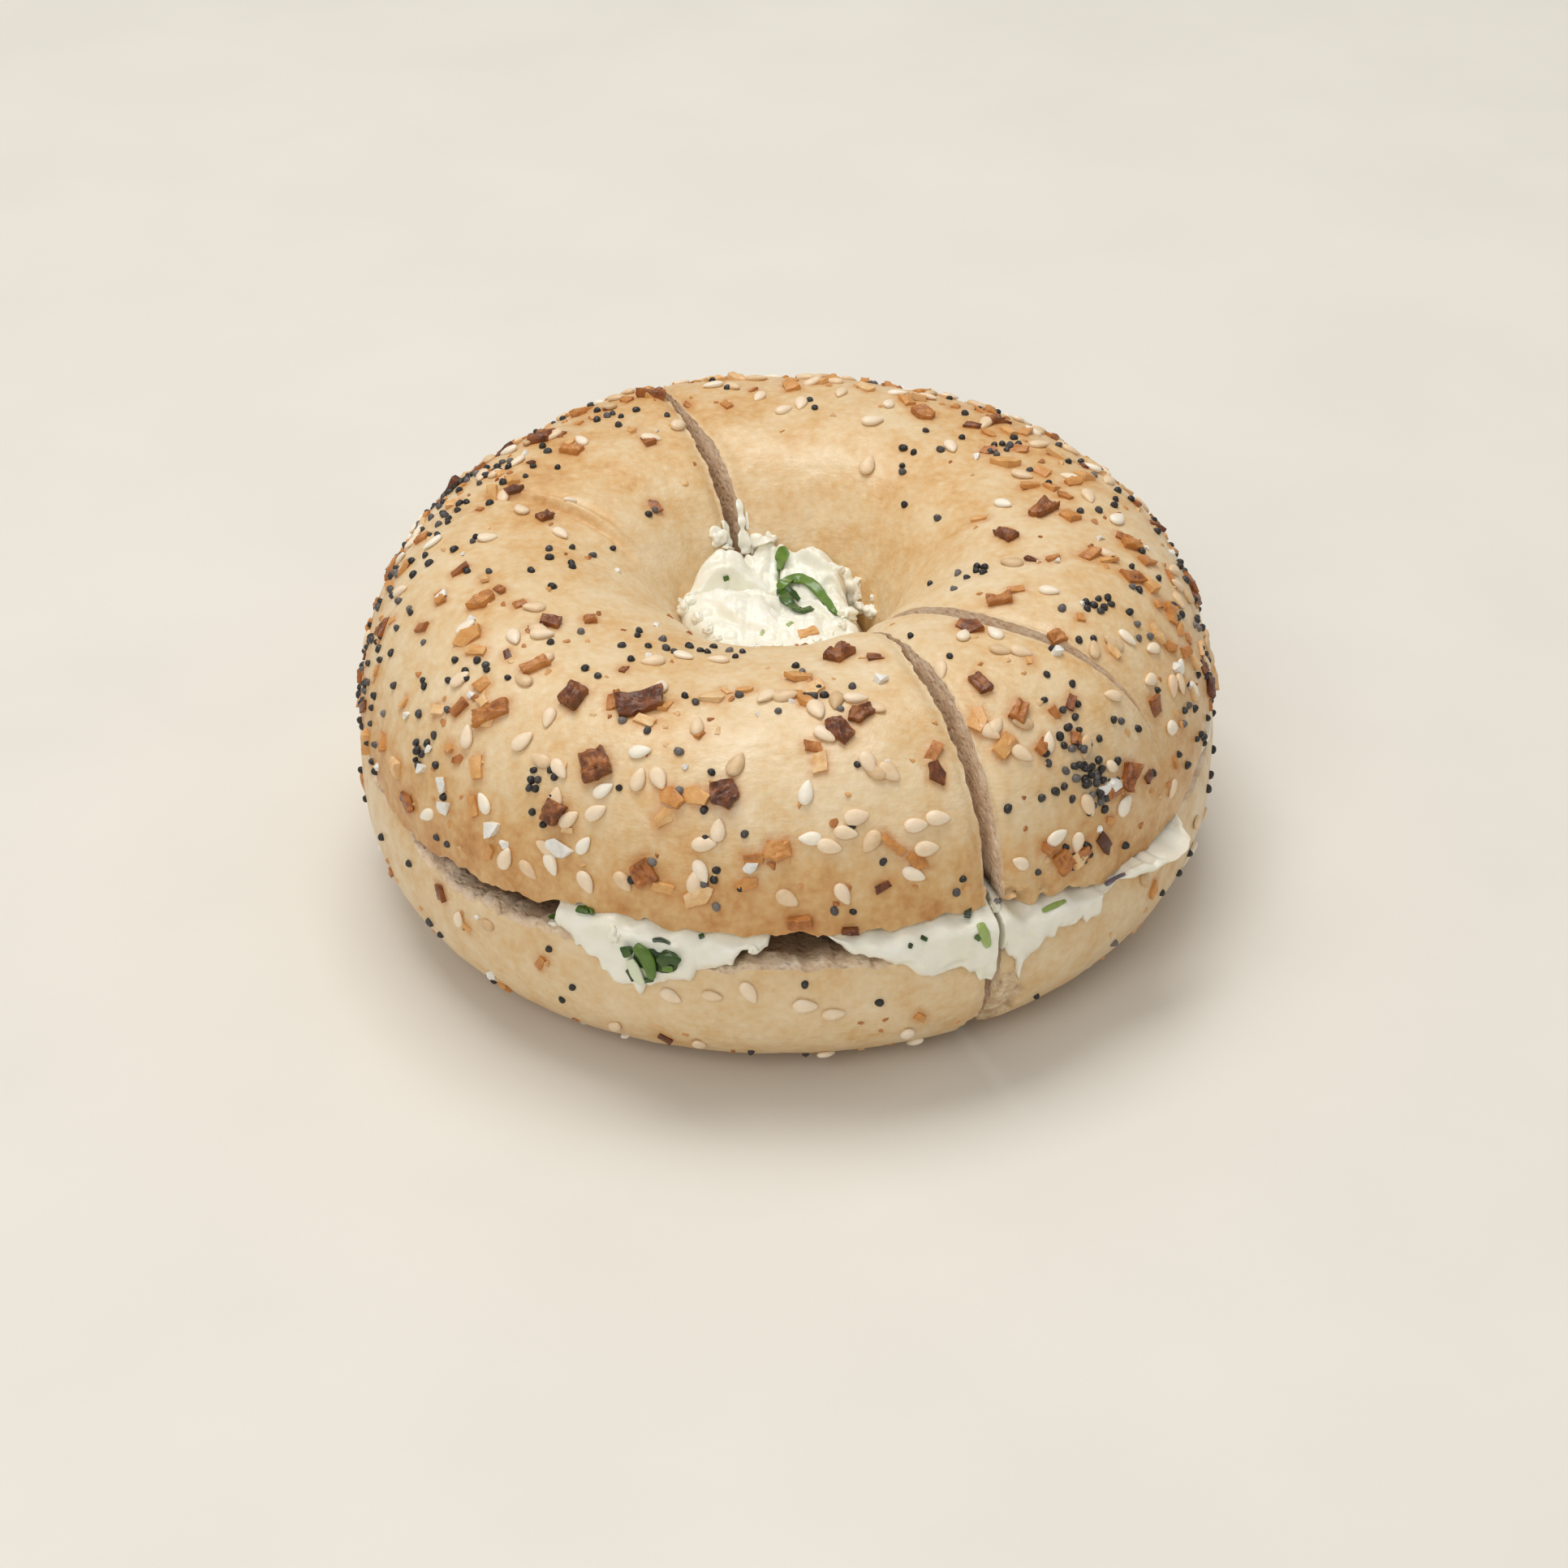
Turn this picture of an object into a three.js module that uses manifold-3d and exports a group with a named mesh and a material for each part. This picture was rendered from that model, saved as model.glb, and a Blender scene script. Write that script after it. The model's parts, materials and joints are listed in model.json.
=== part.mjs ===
// An everything bagel, sliced level, filled with scallion cream cheese and cut in two by a knife.
// Millimetres, +Z up. The origin is on the flat base, under the middle of the whole with its cream,
// and +X is to the right of the front, which is -Y. Angles run round the hole's axis from +X
// towards the back, and all places below are measured from that axis.
// The dough is one ring whose section is a rounded square. The level slice and the knife cut part
// it into four pieces, and the cream cheese runs between them and stands up in the hole.
import * as THREE from 'three';
import { mergeVertices } from 'three/addons/utils/BufferGeometryUtils.js';
import Module from 'manifold-3d';

const wasm = await Module();
wasm.setup();

// Driving dimensions, mm.
const ringRadius = 57.3; // outer radius of the bare crust
const holeRadius = 10.7; // narrowest radius of the hole
const crestHeight = 46.9; // top of the bare crust
const beltHeight = 17.5; // where the crust is widest
const baseDepth = 0.6; // how far the round underside is pressed flat
const upperSquareness = 2.47; // exponent of the section above the belt
const lowerSquareness = 2.68; // and below it
const holeAxis = { x: -0.98, y: 0.71 }; // off the middle, because the cream leans out at the front right
const fitGap = 0.34; // air left between a lump of cream and the dough
const creamGap = 0.6; // and between the cream's plain faces and the rough slices
const tuckHeight = 3.2; // the top half turns in over this height at its rim
const tuckDepth = 1.1;
const ringSteps = 60;
const rimRoughness = 0.7; // torn dips and rises along the two rims
const creamHoleTop = 34.6; // mean height of the cream in the hole
const creamHoleBase = 9.8;
const creamReach = 52.5; // mean radius of the cream between the halves

// The level slice: rim heights of the two halves, with the dips and rises round them.
const topRim = { height: 24.5, inner: 27.4, waves: [
  { at: 0, width: 42, rise: 1.2 }, { at: -98, width: 40, rise: 1.7 }, { at: -45, width: 12, rise: -2.4 },
  { at: 180, width: 38, rise: -2.0 }, { at: -20, width: 15, rise: -1.9 },
  { at: -137, width: 14, rise: -1.1 }] };
const bottomRim = { height: 20.6, inner: 20.2, waves: [
  { at: 180, width: 48, rise: 1.6 }, { at: -92, width: 16, rise: -1.2 }, { at: -55, width: 18, rise: -1.9 },
  { at: 0, width: 30, rise: 0.8 }] };

// How far the cream reaches between the halves, against creamReach.
const creamEdge = [
  { at: 180, width: 45, rise: -8 }, { at: -108, width: 12, rise: 6.2 }, { at: -74, width: 9, rise: 6.2 },
  { at: -58, width: 8, rise: 4.4 }, { at: -34, width: 10, rise: 5.4 }, { at: -12, width: 9, rise: 4.4 },
  { at: 52, width: 20, rise: 1.6 }];

// Lumps of cream pressed out of the slice: angle, radius and height of the middle, then half sizes
// along the rim, outwards and upwards, and how far the lump leans along the rim for each mm down.
const creamLumps = [
  { at: -113.5, radius: 56.2, height: 23.0, size: [8.0, 4.2, 2.9], lean: 0.3 },
  { at: -107, radius: 57.2, height: 20.3, size: [5.4, 3.0, 4.4], lean: 0 },
  { at: -99.5, radius: 56.4, height: 22.4, size: [6.4, 3.4, 2.2], lean: -0.3 },
  { at: -76.5, radius: 56.6, height: 22.2, size: [8.0, 3.7, 3.0], lean: 0.4 },
  { at: -69, radius: 57.4, height: 20.0, size: [4.4, 2.9, 4.8], lean: 0.3 },
  { at: -61, radius: 57.2, height: 19.6, size: [2.8, 2.9, 5.6], lean: 0 },
  { at: -55, radius: 56.6, height: 21.4, size: [6.4, 3.2, 2.5], lean: 0.2 },
  { at: -38, radius: 56.8, height: 21.4, size: [6.4, 3.2, 2.8], lean: 0.4 },
  { at: -30, radius: 57.2, height: 19.8, size: [4.6, 3.1, 3.6], lean: 0.2 },
  { at: -13, radius: 55.6, height: 23.2, size: [5.6, 3.0, 2.4], lean: 0 }];
const holeLumps = [
  { at: 150, radius: 7.0, height: 33.6, size: [7.5, 6.0, 2.9] },
  { at: 85, radius: 7.5, height: 34.2, size: [7.0, 5.0, 3.0] },
  { at: -15, radius: 7.5, height: 32.6, size: [6.4, 4.6, 3.0] }];

// The knife cut crosses the ring on a line that leans to the left at the back.
const cutSlope = -0.41; // x for each mm of y
const cutMiddle = { x: 1.9, step: 2.1, at: -6, length: 12 }; // the line shifts to the right towards the front
const cutWidths = [ // half widths of the gap along y
  [-64, 1.2], [-45, 1.3], [-33, 1.35], [-27, 0.6], [-22, 0.24], [0, 0.8], [14, 1.45], [25, 1.25],
  [33, 0.6], [64, 0.6]];
const lowerCutShare = 0.7; // the cut is narrower through the bottom half
const creamCutHalf = 0.55;
const creamJoin = 12.5; // inside this radius the cream is not cut

// A second knife mark runs from the hole to the right shoulder, and a seam in the dough lies on the left.
const slit = { from: 13, to: 47, lowX: 50, lowY: -28.8, bend: 0.012, half: 1.15, floor: 30 };
const crease = { from: [-42, 13.6], to: [-19, 1.0], half: 0.5, depth: 0.9 };

// Toppings big enough to model: chunks of dried onion, then sesame seeds.
const onion = { count: 42, length: [3.4, 5.6], width: 0.68, thickness: 1.5, seed: 7 };
const sesame = { count: 36, length: 3.1, width: 0.62, thickness: 1.1, seed: 23 };
const bottomSesame = { count: 10, seed: 41 };
// The largest onion chunks: angle, section angle, length, width and turn, degrees and mm.
const onionChunks = [
  [-114, 74, 7.2, 4.2, 10], [-116, 51, 4.4, 4.0, 40], [-98, 49, 3.6, 3.4, 20], [-136, 55, 6.2, 2.6, 20],
  [-57, 73, 3.4, 2.6, 70], [-41, 27, 4.6, 3.0, 60], [-82, 69, 4.2, 2.8, 50], [-33, 90, 3.6, 2.4, 20],
  [4, 90, 4.6, 2.6, 20], [-6, 99, 4.2, 2.6, 50], [-107, 24, 3.6, 3.2, 0], [-120, 34, 3.8, 3.2, 0],
  [-124, 70, 4.0, 3.0, 0], [-76, 73, 3.8, 2.6, 50], [-54, 59, 3.6, 2.6, 60]];

const degrees = Math.PI / 180;
const fullTurn = 2 * Math.PI;
const farAway = 90; // past every side of the bagel

function seededRandom(seed) {
  let state = seed;
  return () => {
    state = (state * 1664525 + 1013904223) % 4294967296;
    return state / 4294967296;
  };
}

// Degrees between two angles round the ring, from -180 to 180.
function turnBetween(angle, at) {
  const turn = (angle / degrees - at) % 360;
  return turn > 180 ? turn - 360 : turn < -180 ? turn + 360 : turn;
}

function waves(angle, list) {
  return list.reduce((sum, w) => sum + w.rise * Math.exp(-((turnBetween(angle, w.at) / w.width) ** 2)), 0);
}

function ragged(t, size) {
  return size * (0.5 * Math.sin(t * 1.9 + 1) + 0.3 * Math.sin(t * 4.3 + 2.2) + 0.2 * Math.sin(t * 9.1));
}

function between(table, at) {
  const next = table.findIndex(([place]) => place >= at);
  if (next <= 0) return table[next === 0 ? 0 : table.length - 1][1];
  const [[x0, y0], [x1, y1]] = [table[next - 1], table[next]];
  const share = (at - x0) / (x1 - x0);
  return y0 + (y1 - y0) * share * share * (3 - 2 * share);
}

function outerRadius(u) {
  return ringRadius - 1.03 * Math.cos(2 * u) + 0.27 * Math.cos(3 * u) + 0.13 * Math.sin(3 * u);
}

function topHeight(u) {
  return crestHeight + 0.6 * Math.cos(u) + 1.3 * Math.sin(u);
}

function rimHeight(u, rim) {
  return rim.height + waves(u, rim.waves) + ragged(u * 9 + rim.height, rimRoughness);
}

// A point of the whole ring's section, as radius and height. grow moves it out of the dough.
function sectionPoint(u, w, grow = 0) {
  const middle = (outerRadius(u) + holeRadius) / 2;
  const half = (outerRadius(u) - holeRadius) / 2 + grow;
  const upper = Math.sin(w) >= 0;
  const power = 2 / (upper ? upperSquareness : lowerSquareness);
  const reach = upper ? topHeight(u) - beltHeight + grow : beltHeight + baseDepth + grow;
  const height = beltHeight + Math.sign(Math.sin(w)) * reach * Math.abs(Math.sin(w)) ** power;
  const lump = 0.25 * Math.sin(3 * u + 2 * w) + 0.2 * Math.sin(5 * u - 3 * w + 1)
    + 0.14 * Math.sin(11 * u + 4 * w);
  const swell = upper ? lump * Math.sin(w) : 0;
  return [middle + Math.sign(Math.cos(w)) * half * Math.abs(Math.cos(w)) ** power,
    Math.max(height + swell, -grow)];
}

// Section angle at which the outer side of the ring passes a height. The hole's side mirrors it.
function sectionAngle(u, height) {
  const upper = height >= beltHeight;
  const reach = upper ? topHeight(u) - beltHeight : beltHeight + baseDepth;
  const share = Math.abs(height - beltHeight) / reach;
  return (upper ? 1 : -1) * Math.asin(share ** ((upper ? upperSquareness : lowerSquareness) / 2));
}

function ringPoint(u, [radius, height]) {
  return new THREE.Vector3(radius * Math.cos(u), radius * Math.sin(u), height);
}

// One half of the ring as a closed section: along the crust, then back across the sliced face.
function halfSection(u, half, grow = 0) {
  const rimAt = rimHeight(u, half.rim) - half.up * grow;
  const innerAt = half.rim.inner - half.up * grow;
  const from = sectionAngle(u, rimAt);
  const to = half.up > 0 ? Math.PI - sectionAngle(u, innerAt) : -Math.PI - sectionAngle(u, innerAt);
  const section = [];
  for (let k = 0; k <= half.crustSteps; k += 1) {
    const w = from + (to - from) * (k / half.crustSteps);
    const [radius, height] = sectionPoint(u, w, grow);
    const low = Math.max(0, 1 - Math.abs(height - rimAt) / tuckHeight);
    const tuck = k < half.crustSteps / 2 ? half.tuck * low * low : 0;
    section.push([radius - tuck, height]);
  }
  const [outer, inner] = [section[0], section[section.length - 1]];
  outer[1] = rimAt;
  inner[1] = innerAt;
  for (let k = 1; k < half.faceSteps; k += 1) {
    const share = k / half.faceSteps;
    const dent = ragged(u * 7 + k * 2.1, 0.22);
    section.push([inner[0] + (outer[0] - inner[0]) * share, inner[1] + (outer[1] - inner[1]) * share + dent]);
  }
  return section;
}

const topHalf = { rim: topRim, up: 1, crustSteps: 14, faceSteps: 4, tuck: tuckDepth };
const bottomHalf = { rim: bottomRim, up: -1, crustSteps: 11, faceSteps: 4, tuck: 0.5 };

function solidOf(geometry) {
  const bare = geometry.clone();
  bare.deleteAttribute('normal');
  bare.deleteAttribute('uv');
  const merged = mergeVertices(bare, 1e-4);
  const mesh = new wasm.Mesh({
    numProp: 3,
    vertProperties: new Float32Array(merged.attributes.position.array),
    triVerts: new Uint32Array(merged.index.array),
  });
  return new wasm.Manifold(mesh);
}

// Closed ring of sections, turned inside out where the loops ran the other way round.
function ringSolid(sectionAt, steps) {
  const loops = Array.from({ length: steps }, (_, i) => {
    const u = (i / steps) * fullTurn;
    return sectionAt(u).map((point) => ringPoint(u, point));
  });
  const count = loops[0].length;
  const index = [];
  for (let i = 0; i < steps; i += 1) {
    for (let k = 0; k < count; k += 1) {
      const [a, b] = [i * count + k, i * count + ((k + 1) % count)];
      const [c, d] = [((i + 1) % steps) * count + k, ((i + 1) % steps) * count + ((k + 1) % count)];
      index.push(a, c, b, b, c, d);
    }
  }
  const geometry = new THREE.BufferGeometry().setFromPoints(loops.flat());
  geometry.setIndex(index);
  const solid = solidOf(geometry);
  if (solid.volume() > 0) return solid;
  geometry.setIndex(index.reverse());
  return solidOf(geometry);
}

// Upright wall over a closed outline in plan.
function wall(outline, low, high) {
  const shape = new THREE.Shape(outline.map(([x, y]) => new THREE.Vector2(x, y)));
  const geometry = new THREE.ExtrudeGeometry(shape, { depth: high - low, bevelEnabled: false });
  return solidOf(geometry.translate(0, 0, low));
}

// Rounded lump with its long side along the rim.
function lump({ at, radius, height, size, lean = 0 }, phase) {
  const geometry = new THREE.IcosahedronGeometry(1, 1);
  const place = geometry.attributes.position;
  const spot = new THREE.Vector3();
  const angle = at * degrees;
  const merged = new Map();
  for (let k = 0; k < place.count; k += 1) {
    spot.fromBufferAttribute(place, k);
    const key = spot.toArray().map((value) => value.toFixed(4)).join();
    if (!merged.has(key)) {
      const wave = Math.sin(3.1 * spot.x + phase) * Math.sin(2.7 * spot.y + 2.3 * spot.z + phase * 2);
      const grown = 1 + 0.1 * wave;
      const [along, outwards] = [-spot.x * size[0] * grown, spot.y * size[1] * grown];
      const up = spot.z * size[2] * grown;
      const side = along - lean * up;
      merged.set(key, [
        (radius + outwards) * Math.cos(angle) - side * Math.sin(angle),
        (radius + outwards) * Math.sin(angle) + side * Math.cos(angle), height + up]);
    }
    place.setXYZ(k, ...merged.get(key));
  }
  return solidOf(geometry);
}

function largestPiece(solid) {
  return solid.decompose().reduce((best, piece) => (piece.volume() > best.volume() ? piece : best));
}

function cutCentre(y) {
  return cutSlope * y + cutMiddle.x - cutMiddle.step * Math.tanh((y - cutMiddle.at) / cutMiddle.length);
}

// Everything on one side of the cut, to be taken away from the piece on the other side.
function besideCut(side, share, phase) {
  const edge = [];
  for (let y = -64; y <= 64; y += 2) {
    const half = Math.max(between(cutWidths, y) * share + ragged(y * 0.7 + phase, 0.22), 0.17);
    edge.push([cutCentre(y) - side * half, y]);
  }
  edge.push([side * farAway, farAway], [side * farAway, -farAway]);
  return wall(edge, -5, farAway);
}

function creamSlit(from, to) {
  const [near, far] = [[], []];
  for (let y = from; y <= to; y += 4) {
    near.push([cutCentre(y) - creamCutHalf, y]);
    far.unshift([cutCentre(y) + creamCutHalf, y]);
  }
  return wall([...near, ...far], -5, farAway);
}

function slitMiddle(x) {
  return slit.lowY + slit.bend * (x - slit.lowX) ** 2;
}

// The mark is widest at the hole and runs out to nothing at the shoulder, over a level floor.
function slitWall() {
  const [near, far] = [[], []];
  const steps = 9;
  for (let k = 0; k <= steps; k += 1) {
    const x = slit.from + ((slit.to - slit.from) * k) / steps;
    const half = slit.half * (1 - (k / steps) ** 2) + 0.06;
    near.push([x, slitMiddle(x) - half]);
    far.unshift([x, slitMiddle(x) + half]);
  }
  return wall([...near, ...far], slit.floor, farAway);
}

function creaseWall() {
  const [near, far] = [[], []];
  const steps = 6;
  const floor = topHeight(165 * degrees) - crease.depth;
  for (let k = 0; k <= steps; k += 1) {
    const share = k / steps;
    const x = crease.from[0] + (crease.to[0] - crease.from[0]) * share;
    const y = crease.from[1] + (crease.to[1] - crease.from[1]) * share + 1.2 * Math.sin(Math.PI * share);
    const half = crease.half * Math.sin(Math.PI * share) + 0.08;
    near.push([x, y - half]);
    far.unshift([x, y + half]);
  }
  return wall([...near, ...far], floor, farAway);
}

// Place and outward direction on the crust.
function crustFrame(u, w) {
  const step = 0.01;
  const here = ringPoint(u, sectionPoint(u, w));
  const along = ringPoint(u + step, sectionPoint(u + step, w)).sub(here).normalize();
  const across = ringPoint(u, sectionPoint(u, w + step)).sub(here).normalize();
  const out = new THREE.Vector3().crossVectors(along, across).normalize();
  return { here, along, across: new THREE.Vector3().crossVectors(out, along), out };
}

function setOn({ here, along, across, out }, geometry, turn, sink) {
  const turned = new THREE.Matrix4().makeBasis(along, across, out);
  const spin = new THREE.Matrix4().makeRotationZ(turn);
  const place = new THREE.Matrix4().makeTranslation(here.clone().addScaledVector(out, -sink));
  return solidOf(geometry.applyMatrix4(place.multiply(turned).multiply(spin)));
}

// Flat-topped chunk with uneven sides.
function chunk(length, width, thickness, random) {
  const sides = 5;
  const outline = Array.from({ length: sides }, (_, k) => {
    const reach = 0.82 + 0.3 * random();
    const angle = ((k + 0.5 * random()) / sides) * fullTurn;
    return new THREE.Vector2((Math.cos(angle) * length * reach) / 2, (Math.sin(angle) * width * reach) / 2);
  });
  const shape = new THREE.Shape(outline);
  const geometry = new THREE.ExtrudeGeometry(shape, { depth: thickness, bevelEnabled: false });
  return geometry.translate(0, 0, -thickness / 2);
}

// Flat drop, pointed at one end.
function seed(length, widthShare, thickness) {
  const geometry = new THREE.SphereGeometry(0.5, 6, 3);
  geometry.rotateY(Math.PI / 2);
  const place = geometry.attributes.position;
  for (let k = 0; k < place.count; k += 1) {
    const taper = 1 - 0.55 * Math.max(0, place.getX(k) * 2) ** 2;
    const width = length * widthShare * taper;
    place.setXYZ(k, place.getX(k) * length, place.getY(k) * width, place.getZ(k) * thickness);
  }
  return geometry;
}

// A piece is left out where it would reach the cut, the knife mark or one already placed.
function isClear(point, size, placed) {
  const cutGap = Math.abs(point.x - cutCentre(point.y)) * 0.92;
  const alongSlit = point.x > slit.from - 2 && point.x < slit.to + 1 && point.z > slit.floor;
  const nearSlit = alongSlit && Math.abs(point.y - slitMiddle(point.x)) < slit.half + size;
  const isFree = placed.every((other) => other.point.distanceTo(point) > other.size + size);
  return isFree && !nearSlit && cutGap > 1.6 + size;
}

function scatterTop(placed) {
  const pieces = [];
  const onionRandom = seededRandom(onion.seed);
  const sesameRandom = seededRandom(sesame.seed);
  const add = (u, w, size, make, turn, sink) => {
    const frame = crustFrame(u, w);
    if (!isClear(frame.here, size, placed)) return false;
    placed.push({ point: frame.here, size });
    pieces.push({ point: frame.here, solid: setOn(frame, make(), turn, sink) });
    return true;
  };
  for (const [at, w, length, width, turn] of onionChunks) {
    const make = () => chunk(length, width, onion.thickness + 0.3, onionRandom);
    add(at * degrees, w * degrees, length / 2, make, turn * degrees, 0.1);
  }
  // Even spread by the golden angle, denser on the outer side of the crest than in the hole.
  const spread = (kind, random, makeOne, sink) => {
    for (let tries = 0, made = 0; made < kind.count && tries < kind.count * 6; tries += 1) {
      const u = ((tries * 0.618034 + kind.seed * 0.1) % 1) * fullTurn;
      const w = (24 + 92 * (0.8 * random() + 0.2 * random())) * degrees;
      const { size, make } = makeOne();
      if (add(u, w, size, make, random() * fullTurn, sink)) made += 1;
    }
  };
  spread(onion, onionRandom, () => {
    const length = onion.length[0] + (onion.length[1] - onion.length[0]) * onionRandom() ** 2;
    const make = () => chunk(length, length * onion.width, onion.thickness, onionRandom);
    return { size: length / 2, make };
  }, 0.05);
  const oneSeed = () => seed(sesame.length, sesame.width, sesame.thickness);
  spread(sesame, sesameRandom, () => ({ size: sesame.length / 2, make: oneSeed }), -0.12);
  return pieces;
}

function scatterBottom(placed) {
  const random = seededRandom(bottomSesame.seed);
  const pieces = [];
  const oneSeed = () => seed(sesame.length, sesame.width, sesame.thickness);
  for (let k = 0; k < bottomSesame.count; k += 1) {
    const u = ((k * 0.618034 + 0.31) % 1) * fullTurn;
    const frame = crustFrame(u, (-14 - 22 * random()) * degrees);
    if (isClear(frame.here, sesame.length / 2, placed)) {
      const solid = setOn(frame, oneSeed(), random() * fullTurn, -0.12);
      pieces.push({ point: frame.here, solid });
    }
  }
  return pieces;
}

// Joins one side's toppings to its bread, without any that would touch the cream.
function joined(bread, pieces, side, cream) {
  const mine = pieces.filter(({ point, solid }) => (
    side * (point.x - cutCentre(point.y)) > 0 && solid.minGap(cream, 1) > fitGap));
  return largestPiece(mine.reduce((whole, { solid }) => whole.add(solid), bread));
}

// Radius of the hole's wall at a height.
function wallRadius(u, height) {
  return sectionPoint(u, Math.PI - sectionAngle(u, height))[0];
}

// Height of a half's sliced face at a radius.
function faceHeight(u, rim, radius) {
  const outside = rimHeight(u, rim);
  const [near, far] = [holeRadius, outerRadius(u)];
  return rim.inner + ((outside - rim.inner) * (radius - near)) / (far - near);
}

// Half of a section of the filling, from its top in the hole round its outer edge to its base.
function creamSection(u) {
  const reach = creamReach + waves(u, creamEdge) + ragged(u * 11, 0.7);
  const stand = creamHoleTop + ragged(u * 3, 0.7);
  const upper = (radius) => [radius, faceHeight(u, topRim, radius) - creamGap];
  const lower = (radius) => [radius, faceHeight(u, bottomRim, radius) + creamGap];
  const beside = (height) => [wallRadius(u, height) - creamGap, height];
  const [over, under] = [upper(reach - 1.5), lower(reach - 1.5)];
  const plug = creamHoleBase + 1.6;
  const shoulder = [wallRadius(u, stand - 1) - 1.6, stand - 0.4];
  const tip = [reach, (over[1] + under[1]) / 2];
  return [[6.5, stand + 0.3], shoulder, beside(stand - 2), upper(holeRadius), upper(30), over, tip, under,
    lower(30), lower(holeRadius - 0.2), beside(plug), [6.5, creamHoleBase]];
}

function creamBody() {
  const tops = new THREE.Vector3(0, 0, creamHoleTop + 0.6);
  const bases = new THREE.Vector3(0, 0, creamHoleBase - 0.3);
  const points = [tops, bases];
  const index = [];
  const count = creamSection(0).length;
  for (let i = 0; i < ringSteps; i += 1) {
    const u = (i / ringSteps) * fullTurn;
    points.push(...creamSection(u).map((point) => ringPoint(u, point)));
    const here = 2 + i * count;
    const next = 2 + ((i + 1) % ringSteps) * count;
    index.push(0, here, next, 1, next + count - 1, here + count - 1);
    for (let k = 0; k < count - 1; k += 1) {
      index.push(here + k, here + k + 1, next + k, next + k, here + k + 1, next + k + 1);
    }
  }
  const geometry = new THREE.BufferGeometry().setFromPoints(points);
  geometry.setIndex(index);
  return solidOf(geometry);
}

function creamCheese(topGrown, bottomGrown) {
  const lumps = [...creamLumps, ...holeLumps].map((one, k) => lump(one, k * 1.7));
  const fitted = lumps
    .map((one) => one.subtract(topGrown).subtract(bottomGrown))
    .reduce((whole, one) => whole.add(one), creamBody());
  return largestPiece(fitted.subtract(creamSlit(-66, -creamJoin)).subtract(creamSlit(creamJoin, 66)));
}

const topRing = ringSolid((u) => halfSection(u, topHalf), ringSteps);
const bottomRing = ringSolid((u) => halfSection(u, bottomHalf), ringSteps);
const topGrown = ringSolid((u) => halfSection(u, topHalf, fitGap), ringSteps);
const bottomGrown = ringSolid((u) => halfSection(u, bottomHalf, fitGap), ringSteps);

const placed = [];
const topPieces = scatterTop(placed);
const bottomPieces = scatterBottom(placed);

const cream = creamCheese(topGrown, bottomGrown);
const creased = topRing.subtract(besideCut(1, 1, 0)).subtract(creaseWall());
const slitted = topRing.subtract(besideCut(-1, 1, 2)).subtract(slitWall());

const solids = {
  top_left: joined(creased, topPieces, -1, cream),
  top_right: joined(slitted, topPieces, 1, cream),
  cream_cheese: cream,
  bottom_left: joined(bottomRing.subtract(besideCut(1, lowerCutShare, 4)), bottomPieces, -1, cream),
  bottom_right: joined(bottomRing.subtract(besideCut(-1, lowerCutShare, 6)), bottomPieces, 1, cream),
};

const crustFinish = { color: 0xd9b27c, roughness: 0.55, metalness: 0 };
const finishes = {
  top_left: crustFinish,
  top_right: crustFinish,
  cream_cheese: { color: 0xf1ece2, roughness: 0.35, metalness: 0 },
  bottom_left: { ...crustFinish, color: 0xdcbc8a },
  bottom_right: { ...crustFinish, color: 0xdcbc8a },
};

const bagel = new THREE.Group();
bagel.position.set(holeAxis.x, holeAxis.y, 0);
for (const [name, solid] of Object.entries(solids)) {
  const { vertProperties, triVerts } = solid.getMesh();
  const geometry = new THREE.BufferGeometry();
  geometry.setAttribute('position', new THREE.BufferAttribute(vertProperties, 3));
  geometry.setIndex(new THREE.BufferAttribute(triVerts, 1));
  geometry.computeVertexNormals();
  const piece = new THREE.Mesh(geometry, new THREE.MeshStandardMaterial(finishes[name]));
  piece.name = name;
  bagel.add(piece);
}

export default bagel;
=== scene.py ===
# An everything bagel with scallion cream cheese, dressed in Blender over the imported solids.
# Working numbers are in millimetres, measured from the axis of the hole. Meshes are made in metres.
import json
import math

import bmesh
import bpy
import numpy as np
from mathutils import Matrix, Vector
from mathutils.bvhtree import BVHTree
from mathutils.kdtree import KDTree

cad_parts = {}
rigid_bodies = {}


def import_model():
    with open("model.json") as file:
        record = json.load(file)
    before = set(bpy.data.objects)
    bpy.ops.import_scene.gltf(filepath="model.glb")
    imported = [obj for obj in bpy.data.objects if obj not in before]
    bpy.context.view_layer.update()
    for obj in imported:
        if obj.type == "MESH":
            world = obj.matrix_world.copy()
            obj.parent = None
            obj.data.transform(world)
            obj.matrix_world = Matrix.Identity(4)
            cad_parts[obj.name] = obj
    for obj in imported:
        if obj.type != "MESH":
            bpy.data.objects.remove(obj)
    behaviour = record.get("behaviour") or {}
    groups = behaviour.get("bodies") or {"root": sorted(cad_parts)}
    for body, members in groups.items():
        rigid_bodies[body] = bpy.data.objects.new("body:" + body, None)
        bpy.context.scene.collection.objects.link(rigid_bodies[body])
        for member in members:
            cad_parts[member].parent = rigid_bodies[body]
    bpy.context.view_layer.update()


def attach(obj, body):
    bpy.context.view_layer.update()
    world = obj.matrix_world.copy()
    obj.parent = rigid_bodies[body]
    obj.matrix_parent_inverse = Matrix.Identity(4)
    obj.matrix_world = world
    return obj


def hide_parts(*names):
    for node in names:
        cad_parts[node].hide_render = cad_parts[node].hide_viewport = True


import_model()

mm = 0.001
degree = math.pi / 180
holeAxis = np.array([-0.98, 0.71, 0.0])  # the hole is a little off the middle of the whole

# Blender's own camera, at the height and turn of the photo's.
viewpoint = {"place": (-0.09, -383.3, 259.1), "pitch": 33.2, "roll": -0.22, "focal": 4200, "image": 1932}

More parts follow.
